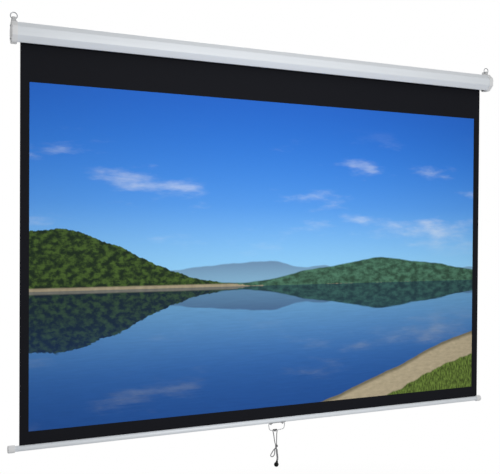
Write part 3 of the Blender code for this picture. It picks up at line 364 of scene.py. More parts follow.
def dress(shader, colour, roughness, height, depth, strength=1.0):
    """Feed a shader its colour, its roughness and a raised surface."""
    relief = {"Height": height, "Distance": depth, "Strength": strength}
    bump = shader_node("ShaderNodeBump", relief)
    connect({"Base Color": colour, "Roughness": roughness, "Normal": bump}, shader.inputs)


def uneven_finish(
    name, colour, patches, grain, roughness, depth, marks=None, rubbed=None, **constants
):
    """Paint, moulding, plating or polish: soft patches, fine grain and faint long marks.

    patches and marks each give a scale and an amount, and roughness its level and spread.
    Above a given height the piece is darkened in mottled smears: painted shade on the ring bosses.
    """
    material, shader = new_material(name, **constants)
    vector = coordinates(shader, "Object")
    inputs = {"Vector": vector, "Colour": opaque(colour), "Grain Scale": grain}
    inputs["Patch Scale"], inputs["Patch Amount"] = patches
    inputs["Roughness"], inputs["Roughness Spread"] = roughness
    surface = place_group(uneven_surface, inputs)
    tone = surface["Colour"]
    if marks:
        inputs = {"Vector": vector, "Colour": tone}
        inputs["Spacing Scale"], inputs["Amount"] = marks
        tone = place_group(long_marks, inputs)["Colour"]
    # painted shade: above the given height the colour darkens in mottled smears, for the shaded
    # ring bosses
    if rubbed is not None:
        height = Wire(add_node(vector.tree, "ShaderNodeSeparateXYZ", {0: vector})[2])
        shade_mottle = noise(scaled(vector, 1.0, 1.0, 0.4), 240.0, 4.0, 0.65)
        above = fade(height, rubbed - 0.003, rubbed + 0.002)
        tone = blend(above * fade(shade_mottle, 0.35, 0.65, 0.45, 0.85), tone, shade(colour, 0.55))
    dress(shader, tone, surface["Roughness"], surface["Height"], depth)
    return material


def black_cloth(name, colour, threads):
    """Matt black vinyl over woven cloth, for the border, back and roll."""
    material, shader = new_material(name, IOR=1.25, Specular_IOR_Level=0.2)
    inputs = {"Vector": coordinates(shader, "UV"), "Threads Per Metre": threads}
    grain = place_group(cloth_grain, inputs)
    slub = grain["Slub"]
    rough = fade(slub, 0.3, 0.7, 0.62, 0.74)
    dress(shader, two_tone(slub, colour, 0.82, 1.22), rough, grain["Height"], 0.00003)
    return material


def braided_cord(name, colour):
    """Grey braid: crossing strands from the tube's own map, with fuzz between them, painted shade
    in the grooves between strands and painted light on their crests.
    """
    material, shader = new_material(name, IOR=1.35, Sheen_Weight=0.12, Sheen_Roughness=0.5)
    place = coordinates(shader, "UV")
    turn, climb = [part * (2 * pi * STRANDS) for part in split(place)]
    strand = maths("MAXIMUM", maths("COSINE", turn + climb), maths("COSINE", turn - climb))
    fibre = noise(scaled(place, 60.0, 26.0, 1.0), 1.0, 3.0, 0.7)
    strand = fibre * 0.7 + strand
    # painted shade and light: the colour is darker in the grooves between strands and lighter on
    # their crests
    tone = two_tone(fade(strand, -0.2, 1.4), colour, 0.72, 1.15)
    dress(shader, tone, fade(fibre, 0.3, 0.7, 0.8, 0.95), strand, 0.00005, 0.7)
    return material


PAINTED = {
    "patches": (5.0, 0.05), "grain": 620.0, "roughness": (0.36, 0.10), "depth": 0.00004,
    "marks": (380.0, 0.035), "IOR": 1.5,
}
MOULDED = {
    "patches": (45.0, 0.06), "grain": 1400.0, "roughness": (0.45, 0.12), "depth": 0.00003,
    "IOR": 1.48,
}
PLATED = {
    "patches": (90.0, 0.35), "grain": 2200.0, "roughness": (0.34, 0.22), "depth": 0.00002,
    "marks": (1500.0, 0.12), "Metallic": 1.0,
}
POLISHED = {
    "patches": (160.0, 0.3), "grain": 900.0, "roughness": (0.14, 0.10), "depth": 0.000006,
    "IOR": 1.45, "Specular_IOR_Level": 0.1,
}

# Each of the record's slots: its material's name, its colour setting and how it is made
FINISHES = {
    "white_paint": ("White Paint", "paint", uneven_finish, PAINTED),
    # the moulding carries painted shade on the ring bosses, above the case's top
    "white_plastic": (
        "Light Grey Moulding", "moulding", uneven_finish, {**MOULDED, "rubbed": TUBE_HIGH.z}
    ),
    "zinc_steel": ("Zinc Plate", "zinc", uneven_finish, PLATED),
    "spring_steel": (
        "Spring Steel", "spring", uneven_finish,
        {**PLATED, "roughness": (0.42, 0.22), "patches": (200.0, 0.35)},
    ),
    "grey_plastic": (
        "Grey Plastic", "grey_plastic", uneven_finish, {**MOULDED, "roughness": (0.5, 0.12)}
    ),
    "nylon": (
        "Natural Nylon", "nylon", uneven_finish,
        {**MOULDED, "roughness": (0.42, 0.12), "grain": 800.0},
    ),
    "black_fabric": ("Black Vinyl Cloth", "cloth_black", black_cloth, {"threads": 1300.0}),
    "grey_cord": ("Grey Braid", "cord", braided_cord, {}),
    "black_gloss_plastic": ("Polished Black", "ball", uneven_finish, POLISHED),
}


def finish_named(slot):
    """The material for one of the record's slots, made when it is first asked for."""
    name, setting, make, options = FINISHES[slot]
    colour = getattr(bpy.context.scene.projector_colours, setting)
    return bpy.data.materials.get(name) or make(name, colour, **options)


# The picture

HORIZON = 0.40


def under(line, height, softness=0.003):
    """1 under a ridge line, and 0 over it."""
    return fade(line - height, -softness, softness)


def wavy(across, scale, offset, amount, base):
    """A ridge line: a base height with slow noise along X."""
    return (noise(joined(across, offset), scale, 3.0, 0.5) - 0.5) * amount + base


def hump(across, centre, width, amount):
    """A rounded hill along X."""
    offset = (across - centre) / width
    return maths("EXPONENT", offset * offset * -1.0) * amount


def land_and_sky(given):
    """Sky, clouds and rounded hills over the horizon, in picture heights."""
    colours = bpy.context.scene.projector_colours
    place = given["Vector"]
    across, height = split(place)

    sky = shader_node("ShaderNodeValToRGB", {0: height})
    ramp = sky.socket.node.color_ramp
    ramp.interpolation = "B_SPLINE"
    low, high = ramp.elements
    low.position, low.color = HORIZON + 0.02, opaque(colours.sky_low)
    high.position, high.color = 1.0, opaque(colours.sky_high)
    ramp.elements.new(0.66).color = opaque(colours.sky_middle)

    puffs = fade(noise(scaled(place, 1.0, 3.4, 1.0), 2.3, 6.0, 0.56), 0.54, 0.78)
    band = fade(height, 0.46, 0.60) * fade(height, 0.94, 0.78)
    view = blend(puffs * band * 0.7, sky, colours.cloud)

    ridge = wavy(across, 2.6, 3.7, 0.16, HORIZON + 0.035) + hump(across, 0.72, 0.30, 0.05)
    pale = [f * 0.6 + s * 0.4 for f, s in zip(colours.far_hill, colours.sky_low)]
    far = blend(fade(height, HORIZON, HORIZON + 0.11), pale, colours.far_hill)
    view = blend(under(ridge, height), view, far)

    ridge = wavy(across, 4.0, 9.1, 0.05, HORIZON + 0.012) + hump(across, 1.22, 0.33, 0.075)
    mottle = noise(scaled(place, 1.0, 1.6, 1.0), 34.0, 4.0, 0.6)
    middle = two_tone(fade(mottle, 0.35, 0.68), colours.middle_hill, 0.62, 1.9)
    view = blend(under(ridge, height), view, middle)

    ridge = wavy(across, 9.0, 1.3, 0.035, HORIZON - 0.004) + hump(across, 0.05, 0.36, 0.185)
    ridge = ridge + wavy(across, 70.0, 5.0, 0.012, 0.0)
    leaves = noise(scaled(place, 1.0, 1.3, 1.0), 46.0, 5.0, 0.62)
    leaf = blend(fade(leaves, 0.40, 0.66), colours.leaf_dark, colours.leaf_light)
    rock = two_tone(noise(place, 60.0, 4.0, 0.6), colours.sand, 0.45, 1.0)
    near = blend(fade(height, HORIZON + 0.012, HORIZON + 0.006), leaf, rock)
    return {"Colour": blend(under(ridge, height, 0.002), view, near)}


def picture_material(sizes, colours):
    """The white, matt picture area, with a generic landscape shown on it."""
    material, shader = new_material("Picture Area", IOR=1.25)
    uv = coordinates(shader, "UV")
    place = scaled(uv, sizes.picture_width / sizes.picture_height, 1.0, 0.0)
    across, height = split(place)
    above = place_group(land_and_sky, {"Vector": place})["Colour"]

    # the bay mirrors what stands over it, drawn out sideways by ripples
    depth = HORIZON - height
    ripple = (noise(scaled(place, 5.0, 62.0, 1.0), 1.0, 4.0, 0.6) - 0.5) * 0.12
    mirror = joined(ripple * (depth * 1.4) + across, ripple * (depth * 1.1) + depth + HORIZON)
    below = place_group(land_and_sky, {"Vector": mirror})["Colour"]
    below = blend(1.0, below, (0.52, 0.60, 0.68), "MULTIPLY")
    water = blend(fade(depth, 0.0, HORIZON, 0.12, 0.62), below, colours.water)
    glint = noise(scaled(place, 14.0, 170.0, 1.0), 1.0, 3.0, 0.6) - 0.5
    wet = dimmed(water, glint * 0.26 + 1.0)
    view = blend(maths("LESS_THAN", height, HORIZON), above, wet)

    # a sandy shore with grass behind it, low on the right
    shore = fade(across, 0.78, 1.75, -0.02, 0.225) + wavy(across, 5.0, 2.2, 0.035, 0.0)
    grit = noise(scaled(place, 1.0, 2.6, 1.0), 42.0, 5.0, 0.6)
    damp = fade(shore - height, 0.018, 0.004) * 0.6
    sand = blend(damp, two_tone(grit, colours.sand, 0.62, 1.25), colours.leaf_dark)
    view = blend(under(shore, height, 0.002), view, sand)
    edge = shore - 0.085 + wavy(across, 30.0, 7.7, 0.02, 0.0)
    blades = noise(scaled(place, 3.0, 1.0, 1.0), 60.0, 5.0, 0.66)
    grass = two_tone(fade(blades, 0.36, 0.66), colours.grass, 0.35, 1.5)
    view = blend(under(edge, height, 0.004), view, grass)

    metres = scaled(uv, sizes.picture_width, sizes.picture_height, 0.0)
    grain = place_group(cloth_grain, {"Vector": metres, "Threads Per Metre": 1500.0})
    slub = grain["Slub"]
    shown = dimmed(view, fade(slub, 0.2, 0.8, 0.985, 1.015))
    dress(shader, shown, fade(slub, 0.3, 0.7, 0.7, 0.8), grain["Height"], 0.00002)
    return material


# Mesh helpers


def new_piece(name, bm, *materials):
    """Turn a bmesh into an object at the origin, and free the bmesh."""
    mesh = bpy.data.meshes.new(name)
    bm.to_mesh(mesh)
    bm.free()
    obj = bpy.data.objects.new(name, mesh)
    bpy.context.scene.collection.objects.link(obj)
    for material in materials:
        mesh.materials.append(material)
    return obj


def rework(obj, change):
    """Run a change on a piece's mesh."""
    bm = bmesh.new()
    bm.from_mesh(obj.data)
    change(bm)
    bm.to_mesh(obj.data)
    bm.free()


def outward(bm):
    """Turn all faces outwards."""
    bmesh.ops.recalc_face_normals(bm, faces=bm.faces)


def smooth_faces(obj, angle=radians(35)):
    """Shade a piece smooth, apart from edges that turn by more than the angle."""

    def smooth(bm):
        for face in bm.faces:
            face.smooth = True
        for edge in bm.edges:
            sharp = len(edge.link_faces) != 2 or edge.calc_face_angle(0.0) > angle
            edge.smooth = not sharp

    rework(obj, smooth)


def applied(obj, name=None):
    """A plain mesh object from what an object's modifiers make; the source goes."""
    graph = bpy.context.evaluated_depsgraph_get()
    mesh = bpy.data.meshes.new_from_object(obj.evaluated_get(graph), depsgraph=graph)
    name = name or obj.name
    bpy.data.objects.remove(obj, do_unlink=True)
    made = bpy.data.objects.new(name, mesh)
    mesh.name = name
    bpy.context.scene.collection.objects.link(made)
    return made


def softened(obj, width):
    """A piece with small bevels on its sharp edges, and shaded smooth."""
    soften = obj.modifiers.new("Soft Edges", "BEVEL")
    soften.width, soften.segments = width, 2
    soften.limit_method, soften.angle_limit = "ANGLE", radians(50)
    made = applied(obj)
    smooth_faces(made, radians(42))
    return made


def lofted(rings):
    """A bmesh of a closed skin over rings of points, all of the same count."""
    bm = bmesh.new()
    made = [[bm.verts.new(p) for p in ring] for ring in rings]
    for first, second in zip(made, made[1:]):
        for i in range(len(first)):
            j = (i + 1) % len(first)
            bm.faces.new((first[i], first[j], second[j], second[i]))
    bm.faces.new(made[0][::-1])
    bm.faces.new(made[-1])
    outward(bm)
    return bm


def circle(steps):
    """Cosines and sines once round."""
    return [(cos(2 * pi * i / steps), sin(2 * pi * i / steps)) for i in range(steps)]


def turned(profile, steps):
    """A bmesh of a profile of (height, radius) pairs, turned about the upright axis."""
    return lofted([[(r * x, r * y, z) for x, y in circle(steps)] for z, r in profile])


def rounded_edge(radius, steps):
    """How far each step over a rounded edge lies within its two faces."""
    turns = [(pi / 2) * step / steps for step in range(steps + 1)]
    return [(radius * (1 - sin(turn)), radius * (1 - cos(turn))) for turn in turns]


def bent(start, corner, end, t):
    """A point on the curve from start to end that bends towards a corner."""
    return (1 - t) ** 2 * start + 2 * t * (1 - t) * corner + t * t * end


KINDS = {bpy.types.Object: "Object", bpy.types.Material: "Material", int: "Int", float: "Float"}


def run_tree(name, build, values, start=None):
    """A plain mesh from a Geometry Nodes tree, which build lays out at its first use.

    The tree ends in Realize Instances and Set Material, and values are its inputs by name.
    """
    tree = bpy.data.node_groups.get(titled(build))
    if tree is None:
        tree = bpy.data.node_groups.new(titled(build), "GeometryNodeTree")
        add_sockets(tree, "INPUT", {"Geometry": "Geometry"})
        for key, value in values.items():
            kind = next(kind for cls, kind in KINDS.items() if isinstance(value, cls))
            add_sockets(tree, "INPUT", {key: kind})
        add_sockets(tree, "OUTPUT", {"Geometry": "Geometry"})
        given = tree.nodes.new("NodeGroupInput").outputs
        real = add_node(tree, "GeometryNodeRealizeInstances", {0: build(tree, given)})
        finish = {"Geometry": real[0], "Material": given["Material"]}
        painted = add_node(tree, "GeometryNodeSetMaterial", finish)
        tree.links.new(painted[0], tree.nodes.new("NodeGroupOutput").inputs[0])
    obj = new_piece(name + "_source", start or bmesh.new())
    modifier = obj.modifiers.new(tree.name, "NODES")
    modifier.node_group = tree
    sockets = {s.name: s for s in tree.interface.items_tree if s.in_out == "INPUT"}
    for key, value in values.items():
        modifier[sockets[key].identifier] = value
    return applied(obj, name)


def polyline(points, closed=False):
    """A bmesh of edges through the points."""
    bm = bmesh.new()
    verts = [bm.verts.new(p) for p in points]
    for a, b in zip(verts, verts[1:] + (verts[:1] if closed else [])):
        bm.edges.new((a, b))
    return bm


# The stage


def seen_directly(tree):
    """1 where a ray comes from the camera, or by way of a mirror or clear glass."""
    path = tree.nodes.new("ShaderNodeLightPath").outputs
    camera, glossy, clear = [
        Wire(path[f"Is {kind} Ray"]) for kind in ("Camera", "Glossy", "Transmission")
    ]
    return maths("MAXIMUM", maths("MAXIMUM", camera, glossy), clear)


def mix_shaders(tree, share, first, second, end):
    """End a tree in a mix of two shaders."""
    mixed = add_node(tree, "ShaderNodeMixShader", {0: share, 1: first, 2: second})
    tree.links.new(mixed[0], tree.nodes[end].inputs["Surface"])


def floor_material(colour):
    """A pale floor: lit near the screen, so it keeps its shadow, and white further off."""
    material, shader = new_material("Pale Floor", Roughness=0.9, IOR=1.2)
    tree = material.node_tree
    vector = coordinates(shader, "Object")
    dust = noise(vector, 6.0, 3.0, 0.6)
    connect({"Base Color": two_tone(dust, colour, 0.985, 1.0)}, shader.inputs)
    white = add_node(tree, "ShaderNodeEmission", {"Color": (1.0, 1.0, 1.0, 1.0), "Strength": 1.0})
    squeezed = scaled(vector, 0.7, 1.0, 0.0)
    away = shader_node("ShaderNodeVectorMath", {0: squeezed}, "Value", operation="LENGTH")
    far = fade(away, 0.4, 1.9, 0.82, 1.0)
    share = far * seen_directly(tree)
    mix_shaders(tree, share, shader.outputs[0], white[0], "Material Output")
    return material


# Each lamp's place, what it faces and its size; its power is the setting of the same name
LAMPS = (
    ("front_lamp", (0.0, -2.4, -0.45), (0.0, 0.0, -0.8), (1.2, 1.4)),
    ("back_lamp", (0.5, 2.6, 2.0), (0.0, 0.0, -0.7), (2.6, 2.0)),
)


def lamp(name, place, target, size, power):
    """A soft square lamp that faces the target."""
    data = bpy.data.lights.new(name, "AREA")
    data.shape = "RECTANGLE"
    data.size, data.size_y = size
    data.energy = power
    obj = bpy.data.objects.new(name, data)
    obj.location = place
    obj.rotation_euler = (Vector(target) - Vector(place)).to_track_quat("-Z", "Y").to_euler()
    obj.visible_camera = False
    bpy.context.scene.collection.objects.link(obj)


class PROJECTOR_OT_make_stage(Operator):
    """Set up the camera, lamps, white surroundings and floor"""

    bl_idname = "projector.make_stage"
    bl_label = "Make Stage"

    def execute(self, context):
        scene = context.scene
        stage = scene.projector_stage
        scene.view_settings.view_transform = "Standard"

        camera = bpy.data.cameras.new("Camera")
        camera.sensor_width, camera.lens = 36.0, stage.lens
        camera.clip_start, camera.clip_end = 0.05, 60.0
        eye = bpy.data.objects.new("Camera", camera)
        scene.collection.objects.link(eye)
        eye.matrix_world = (
            Matrix.Translation(stage.camera_place)
            @ Matrix.Rotation(-stage.camera_yaw, 4, "Z")
            @ Matrix.Rotation(pi / 2 + stage.camera_pitch, 4, "X")
            @ Matrix.Rotation(stage.camera_roll, 4, "Z")
        )
        scene.camera = eye

        bm = bmesh.new()
        bmesh.ops.create_grid(bm, x_segments=24, y_segments=24, size=20.0)
        for vert in bm.verts:
            vert.co.z = stage.floor_height
        floor = new_piece("floor", bm, floor_material(stage.floor_colour))

        for name, place, target, size in LAMPS:
            lamp(name, place, target, size, getattr(stage, name))

        world = bpy.data.worlds.new("White Surroundings")
        scene.world = world
        world.use_nodes = True
        tree = world.node_tree
        soft = tree.nodes["Background"]
        soft.inputs["Color"].default_value = (1.0, 1.0, 1.0, 1.0)
        soft.inputs["Strength"].default_value = stage.daylight
        white = add_node(tree, "ShaderNodeBackground", {"Color": (1.0, 1.0, 1.0, 1.0)})
        mix_shaders(tree, seen_directly(tree), soft.outputs[0], white[0], "World Output")
        return {"FINISHED"}


# The cords

# Routes in millimetres from the middle of the bail's lower wire
CORD_ROUTE_MM = [
    (-0.2, -4.1, -6), (-1.2, -3.7, -18), (-1.0, -2.6, -34), (-0.4, -1.0, -50), (0.0, 0.0, -61),
    (0.0, 0.0, -69), (0.0, 0.0, -78), (-0.9, 0.0, -88), (-0.9, 0.0, -97.5), (0.7, 0.0, -109),
    (2.3, 0.0, -120), (2.5, 0.0, -128.5), (0.8, 0.0, -136.4),
]
TIE_ROUTE_MM = [
    (-16.0, 4.0, -6), (-13.2, 3.7, -17), (-10.8, 3.0, -34), (-8.4, 2.2, -50), (-6.4, 1.4, -59),
]
BIGHT_ROUTE_MM = [
    (-8.2, -3.0, -80), (-14.0, -2.8, -84.5), (-18.6, -2.0, -91), (-23.0, -1.0, -98),
    (-27.4, -0.3, -105.5), (-28.3, 0.0, -111), (-25.0, 0.0, -115.6), (-19.5, 0.2, -116.4),
    (-13.6, 0.6, -113.6), (-9.8, 1.2, -107.5), (-8.2, 1.8, -100.5), (-7.0, 3.0, -93),
    (-5.2, 4.6, -87), (-1.6, 5.6, -83.8), (2.2, 5.0, -84.6), (4.4, 2.8, -88.6),
]
# How many of the cord's last points the tie's end runs beside, and how far off
PAIRED_POINTS, PAIR_SPACING = 5, 0.0046

# The hitch round the bail's wire, whose turns begin some steps past its middle, and the knot
# round the cord
BAIL_Z = BAIL_LOW.z + 0.0015
HITCH_X = HANDLE_X - 0.008
WRAP_RADIUS, WRAP_PITCH, WRAP_TURNS, WRAP_STEPS, WRAP_START = 0.0040, 0.0065, 1.25, 66, 4
KNOT_TOP, KNOT_PITCH, KNOT_TURNS, KNOT_RADIUS = -0.0660, 0.0050, 2, 0.00465

# Both cords' lengths, and the spacing of their rings and the count of their sides
CORD_LENGTH, TIE_LENGTH = 0.170, 0.314
CORD_STEP, CORD_SIDES = 0.0003, 32
# Steps in each stretch of a smooth curve, and in each turn of the knot
CURVE_STEPS = 40

# The knob: its top under the cords' ends, its height, and the radii of its ball, neck and rim
KNOB_TOP, KNOB_HEIGHT, KNOB_RADIUS, NECK_RADIUS, NECK_RIM = -0.0003, 0.027, 0.0105, 0.0047, 0.0008
# How far under the knob's top the neck ends, the hollow bends, and the ball begins
NECK_END, HOLLOW, BALL_START = 0.0022, 0.0058, 0.0082
# Steps down the knob's rim, hollow and ball, the sides round it, and the angle left at its foot
RIM_STEPS, HOLLOW_STEPS, BALL_STEPS, KNOB_SIDES, FOOT_ANGLE = 4, 9, 34, 64, 0.05


def placed(route):
    """Route points in metres, from millimetres about the bail's lower wire."""
    return [
        Vector((HANDLE_X + x / 1000, SHEET_Y + y / 1000, BAIL_Z + z / 1000)) for x, y, z in route
    ]


def beside(before, after):
    """The way to the right, square to a stretch of cord."""
    return (after - before).normalized().cross(Vector((0.0, 1.0, 0.0)))


def paired_route():
    """Where the tie's end runs down beside the pulled cord, on its right."""
    lead = placed(CORD_ROUTE_MM)
    ahead = lead[1:] + [2 * lead[-1] - lead[-2]]
    pairs = list(zip(lead, ahead))[-PAIRED_POINTS:]
    return [here + PAIR_SPACING * beside(here, after) for here, after in pairs]


def distances(points):
    """How far each point is along the line."""
    reach = [0.0]
    for a, b in zip(points, points[1:]):
        reach.append(reach[-1] + (b - a).length)
    return reach


def spaced_evenly(points):
    """Points a cord's step apart along straight runs between the given ones."""
    reach = distances(points)
    count = max(2, round(reach[-1] / CORD_STEP))
    even, k = [], 0
    for i in range(count + 1):
        target = reach[-1] * i / count
        while k < len(points) - 2 and reach[k + 1] < target:
            k += 1
        share = (target - reach[k]) / max(reach[k + 1] - reach[k], 1e-12)
        even.append(points[k].lerp(points[k + 1], share))
    return even


def smooth_curve(points):
    """Points a cord's step apart along a smooth curve through the chosen points."""
    ends = [points[0], *points, points[-1]]
    dense = []
    for p0, p1, p2, p3 in zip(ends, ends[1:], ends[2:], ends[3:]):
        square, cube = 2 * p0 - 5 * p1 + 4 * p2 - p3, 3 * p1 - p0 - 3 * p2 + p3
        for step in range(CURVE_STEPS):
            t = step / CURVE_STEPS
            dense.append(0.5 * (2 * p1 + (p2 - p0) * t + square * t * t + cube * t**3))
    return spaced_evenly([*dense, points[-1]])


def hitch(direction, diameter):
    """Turns of the cord round the bail's wire, from the hitch's middle outwards."""
    middle = Vector((HITCH_X, SHEET_Y, BAIL_Z + WRAP_RADIUS))
    points = [middle, middle - Vector((0.0, direction * diameter / 3, 0.0))]
    for i in range(WRAP_START, WRAP_STEPS + 1):
        turn = 2 * pi * WRAP_TURNS * i / WRAP_STEPS
        x = HITCH_X + direction * WRAP_PITCH * turn / (2 * pi)
        y = SHEET_Y - direction * WRAP_RADIUS * sin(turn)
        points.append(Vector((x, y, BAIL_Z + WRAP_RADIUS * cos(turn))))
    return spaced_evenly(points)


def knot_turns():
    """The tie's turns round the pulled cord."""
    steps = CURVE_STEPS * KNOT_TURNS
    points = []
    for i in range(steps + 1):
        turn = pi + 2 * pi * KNOT_TURNS * i / steps
        x, y = HANDLE_X + KNOT_RADIUS * cos(turn), SHEET_Y + KNOT_RADIUS * sin(turn)
        points.append(Vector((x, y, BAIL_Z + KNOT_TOP - KNOT_PITCH * KNOT_TURNS * i / steps)))
    return points


def eased(points, passes=8):
    """A line of points with its joins rounded off, and its two ends kept."""
    for _ in range(passes):
        inner = [(a + 2 * b + c) / 4 for a, b, c in zip(points, points[1:], points[2:])]
        points = [points[0], *inner, points[-1]]
    return points


def carried_frames(points):
    """Two cross directions at each point, carried along the line without twist."""
    frames = []
    side = None
    for i in range(len(points)):
        ahead = (points[min(i + 1, len(points) - 1)] - points[max(i - 1, 0)]).normalized()
        if side is None:
            side = ahead.orthogonal().normalized()
        side = (side - ahead * side.dot(ahead)).normalized()
        frames.append((side, ahead.cross(side)))
    return frames


def braided_tube(name, points, sizes, material, sealed_end):
    """A cord as a closed tube with raised crossing strands, and its own map."""
    radius, pitch = sizes.cord_diameter / 2, sizes.braid_pitch
    bm = bmesh.new()
    uv = bm.loops.layers.uv.new("Cord Map")
    reach = distances(points)
    rings = []
    for point, (side, across), gone in zip(points, carried_frames(points), reach):
        closing = 1.0
        if sealed_end and reach[-1] - gone < radius:
            left = 1 - (reach[-1] - gone) / radius
            closing = sqrt(max(0.05, 1 - left * left))
        climb = 2 * pi * STRANDS * gone / pitch
        ring = []
        for j in range(CORD_SIDES):
            turn = 2 * pi * j / CORD_SIDES
            relief = max(cos(STRANDS * turn + climb), cos(STRANDS * turn - climb))
            size = (radius - sizes.braid_depth * (1 - relief) / 2) * closing
            ring.append(bm.verts.new(point + side * size * cos(turn) + across * size * sin(turn)))
        rings.append(ring)
    for first, second, low, high in zip(rings, rings[1:], reach, reach[1:]):
        for j in range(CORD_SIDES):
            k = (j + 1) % CORD_SIDES
            face = bm.faces.new((first[j], first[k], second[k], second[j]))
            face.smooth = True
            spots = ((j, low), (j + 1, low), (j + 1, high), (j, high))
            for loop, (step, gone) in zip(face.loops, spots):
                loop[uv].uv = (step / CORD_SIDES, gone / pitch)
    bm.faces.new(rings[0][::-1])
    bm.faces.new(rings[-1])
    outward(bm)
    return new_piece(name, bm, material)


def knob(name, material):
    """The pear shaped knob, turned from one profile and hung in line with the two cords."""
    rim = rounded_edge(NECK_RIM, RIM_STEPS)
    profile = [(KNOB_TOP - down, NECK_RADIUS - inset) for inset, down in rim]
    centre = KNOB_TOP - KNOB_HEIGHT + KNOB_RADIUS
    shoulder, foot = asin((KNOB_TOP - BALL_START - centre) / KNOB_RADIUS), FOOT_ANGLE - pi / 2
    # a hollow curve from the neck into the ball
    start = Vector((KNOB_TOP - NECK_END, NECK_RADIUS))
    corner = Vector((KNOB_TOP - HOLLOW, NECK_RADIUS * 1.01))
    join = Vector((centre + KNOB_RADIUS * sin(shoulder), KNOB_RADIUS * cos(shoulder)))
    profile += [bent(start, corner, join, i / HOLLOW_STEPS) for i in range(HOLLOW_STEPS)]
    for i in range(BALL_STEPS + 1):
        turn = shoulder + (foot - shoulder) * i / BALL_STEPS
        profile.append((centre + KNOB_RADIUS * sin(turn), KNOB_RADIUS * cos(turn)))
    bm = turned(profile, KNOB_SIDES)
    before, end = placed(CORD_ROUTE_MM)[-2:]
    lean = Vector((0.0, 0.0, -1.0)).rotation_difference(end - before).to_matrix().to_4x4()
    middle = end + PAIR_SPACING / 2 * beside(before, end)
    bmesh.ops.transform(bm, matrix=Matrix.Translation(middle) @ lean, verts=bm.verts)
    obj = new_piece(name, bm, material)
    smooth_faces(obj, radians(50))
    return obj


class PROJECTOR_OT_make_cords(Operator):
    """Make the braided pull cord, its tie and the knob on its end"""

    bl_idname = "projector.make_cords"
    bl_label = "Make Cords"

    def execute(self, context):
        sizes = context.scene.projector_sizes
        braid = finish_named("grey_cord")
        ball = knob("ball", finish_named("black_gloss_plastic"))
        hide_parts("pull_ball")
        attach(ball, "cord")

        lead = hitch(1, sizes.cord_diameter)
        lead = eased(lead + smooth_curve([lead[-1]] + placed(CORD_ROUTE_MM))[1:])
        tail = hitch(-1, sizes.cord_diameter)
        tail += smooth_curve([tail[-1]] + placed(TIE_ROUTE_MM))[1:]
        tail += spaced_evenly([tail[-1]] + knot_turns())[1:]
        bight = placed(BIGHT_ROUTE_MM) + paired_route()
        tail = eased(tail + smooth_curve([tail[-1]] + bight)[1:])
        for name, node, path, length, sealed_end in (
            ("cord_lead", "pull_cord", lead, CORD_LENGTH, False),
            ("cord_tail", "tie_cord", tail, TIE_LENGTH, True),
        ):
            cord = braided_tube(name, path, sizes, braid, sealed_end)
            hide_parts(node)
            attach(cord, "cord")
        return {"FINISHED"}


# The cloth

# How far the bar travels, how much of the sheet is left over its foot when the bar is up,
# and the gap between the two lengths of cloth
SCREEN_TRAVEL, LEFT_OUT, SEAM = 1.5268, 0.001, 0.00002

# The sheet's folds: each one's share of the wave, how fast it turns across and down the
# sheet, and where it starts
FOLDS = ((0.45, 9.1, 1.3, 0.4), (0.25, 21.0, -2.4, 0.0))
# The curl of the side edges: its share of the wave, how it grows outwards, and its turn down
CURL_SHARE, CURL_POWER, CURL_TURN = 0.3, 6, 5.0
# The share of the drop that the roller keeps flat
FLAT_DROP = 0.06

# How deep the turns of cloth on the roller are, and how thick beside the hanging sheet
ROLL_DEPTH, ROLL_THICKNESS = 0.0009, 0.9


def sheet_lines(low, high, first, last, count):
    """Grid lines from low to high, with lines at first and last and count faces between."""
    inner = [first + (last - first) * i / count for i in range(count + 1)]
    return [low, (low + first) / 2, *inner, (high + last) / 2, high]


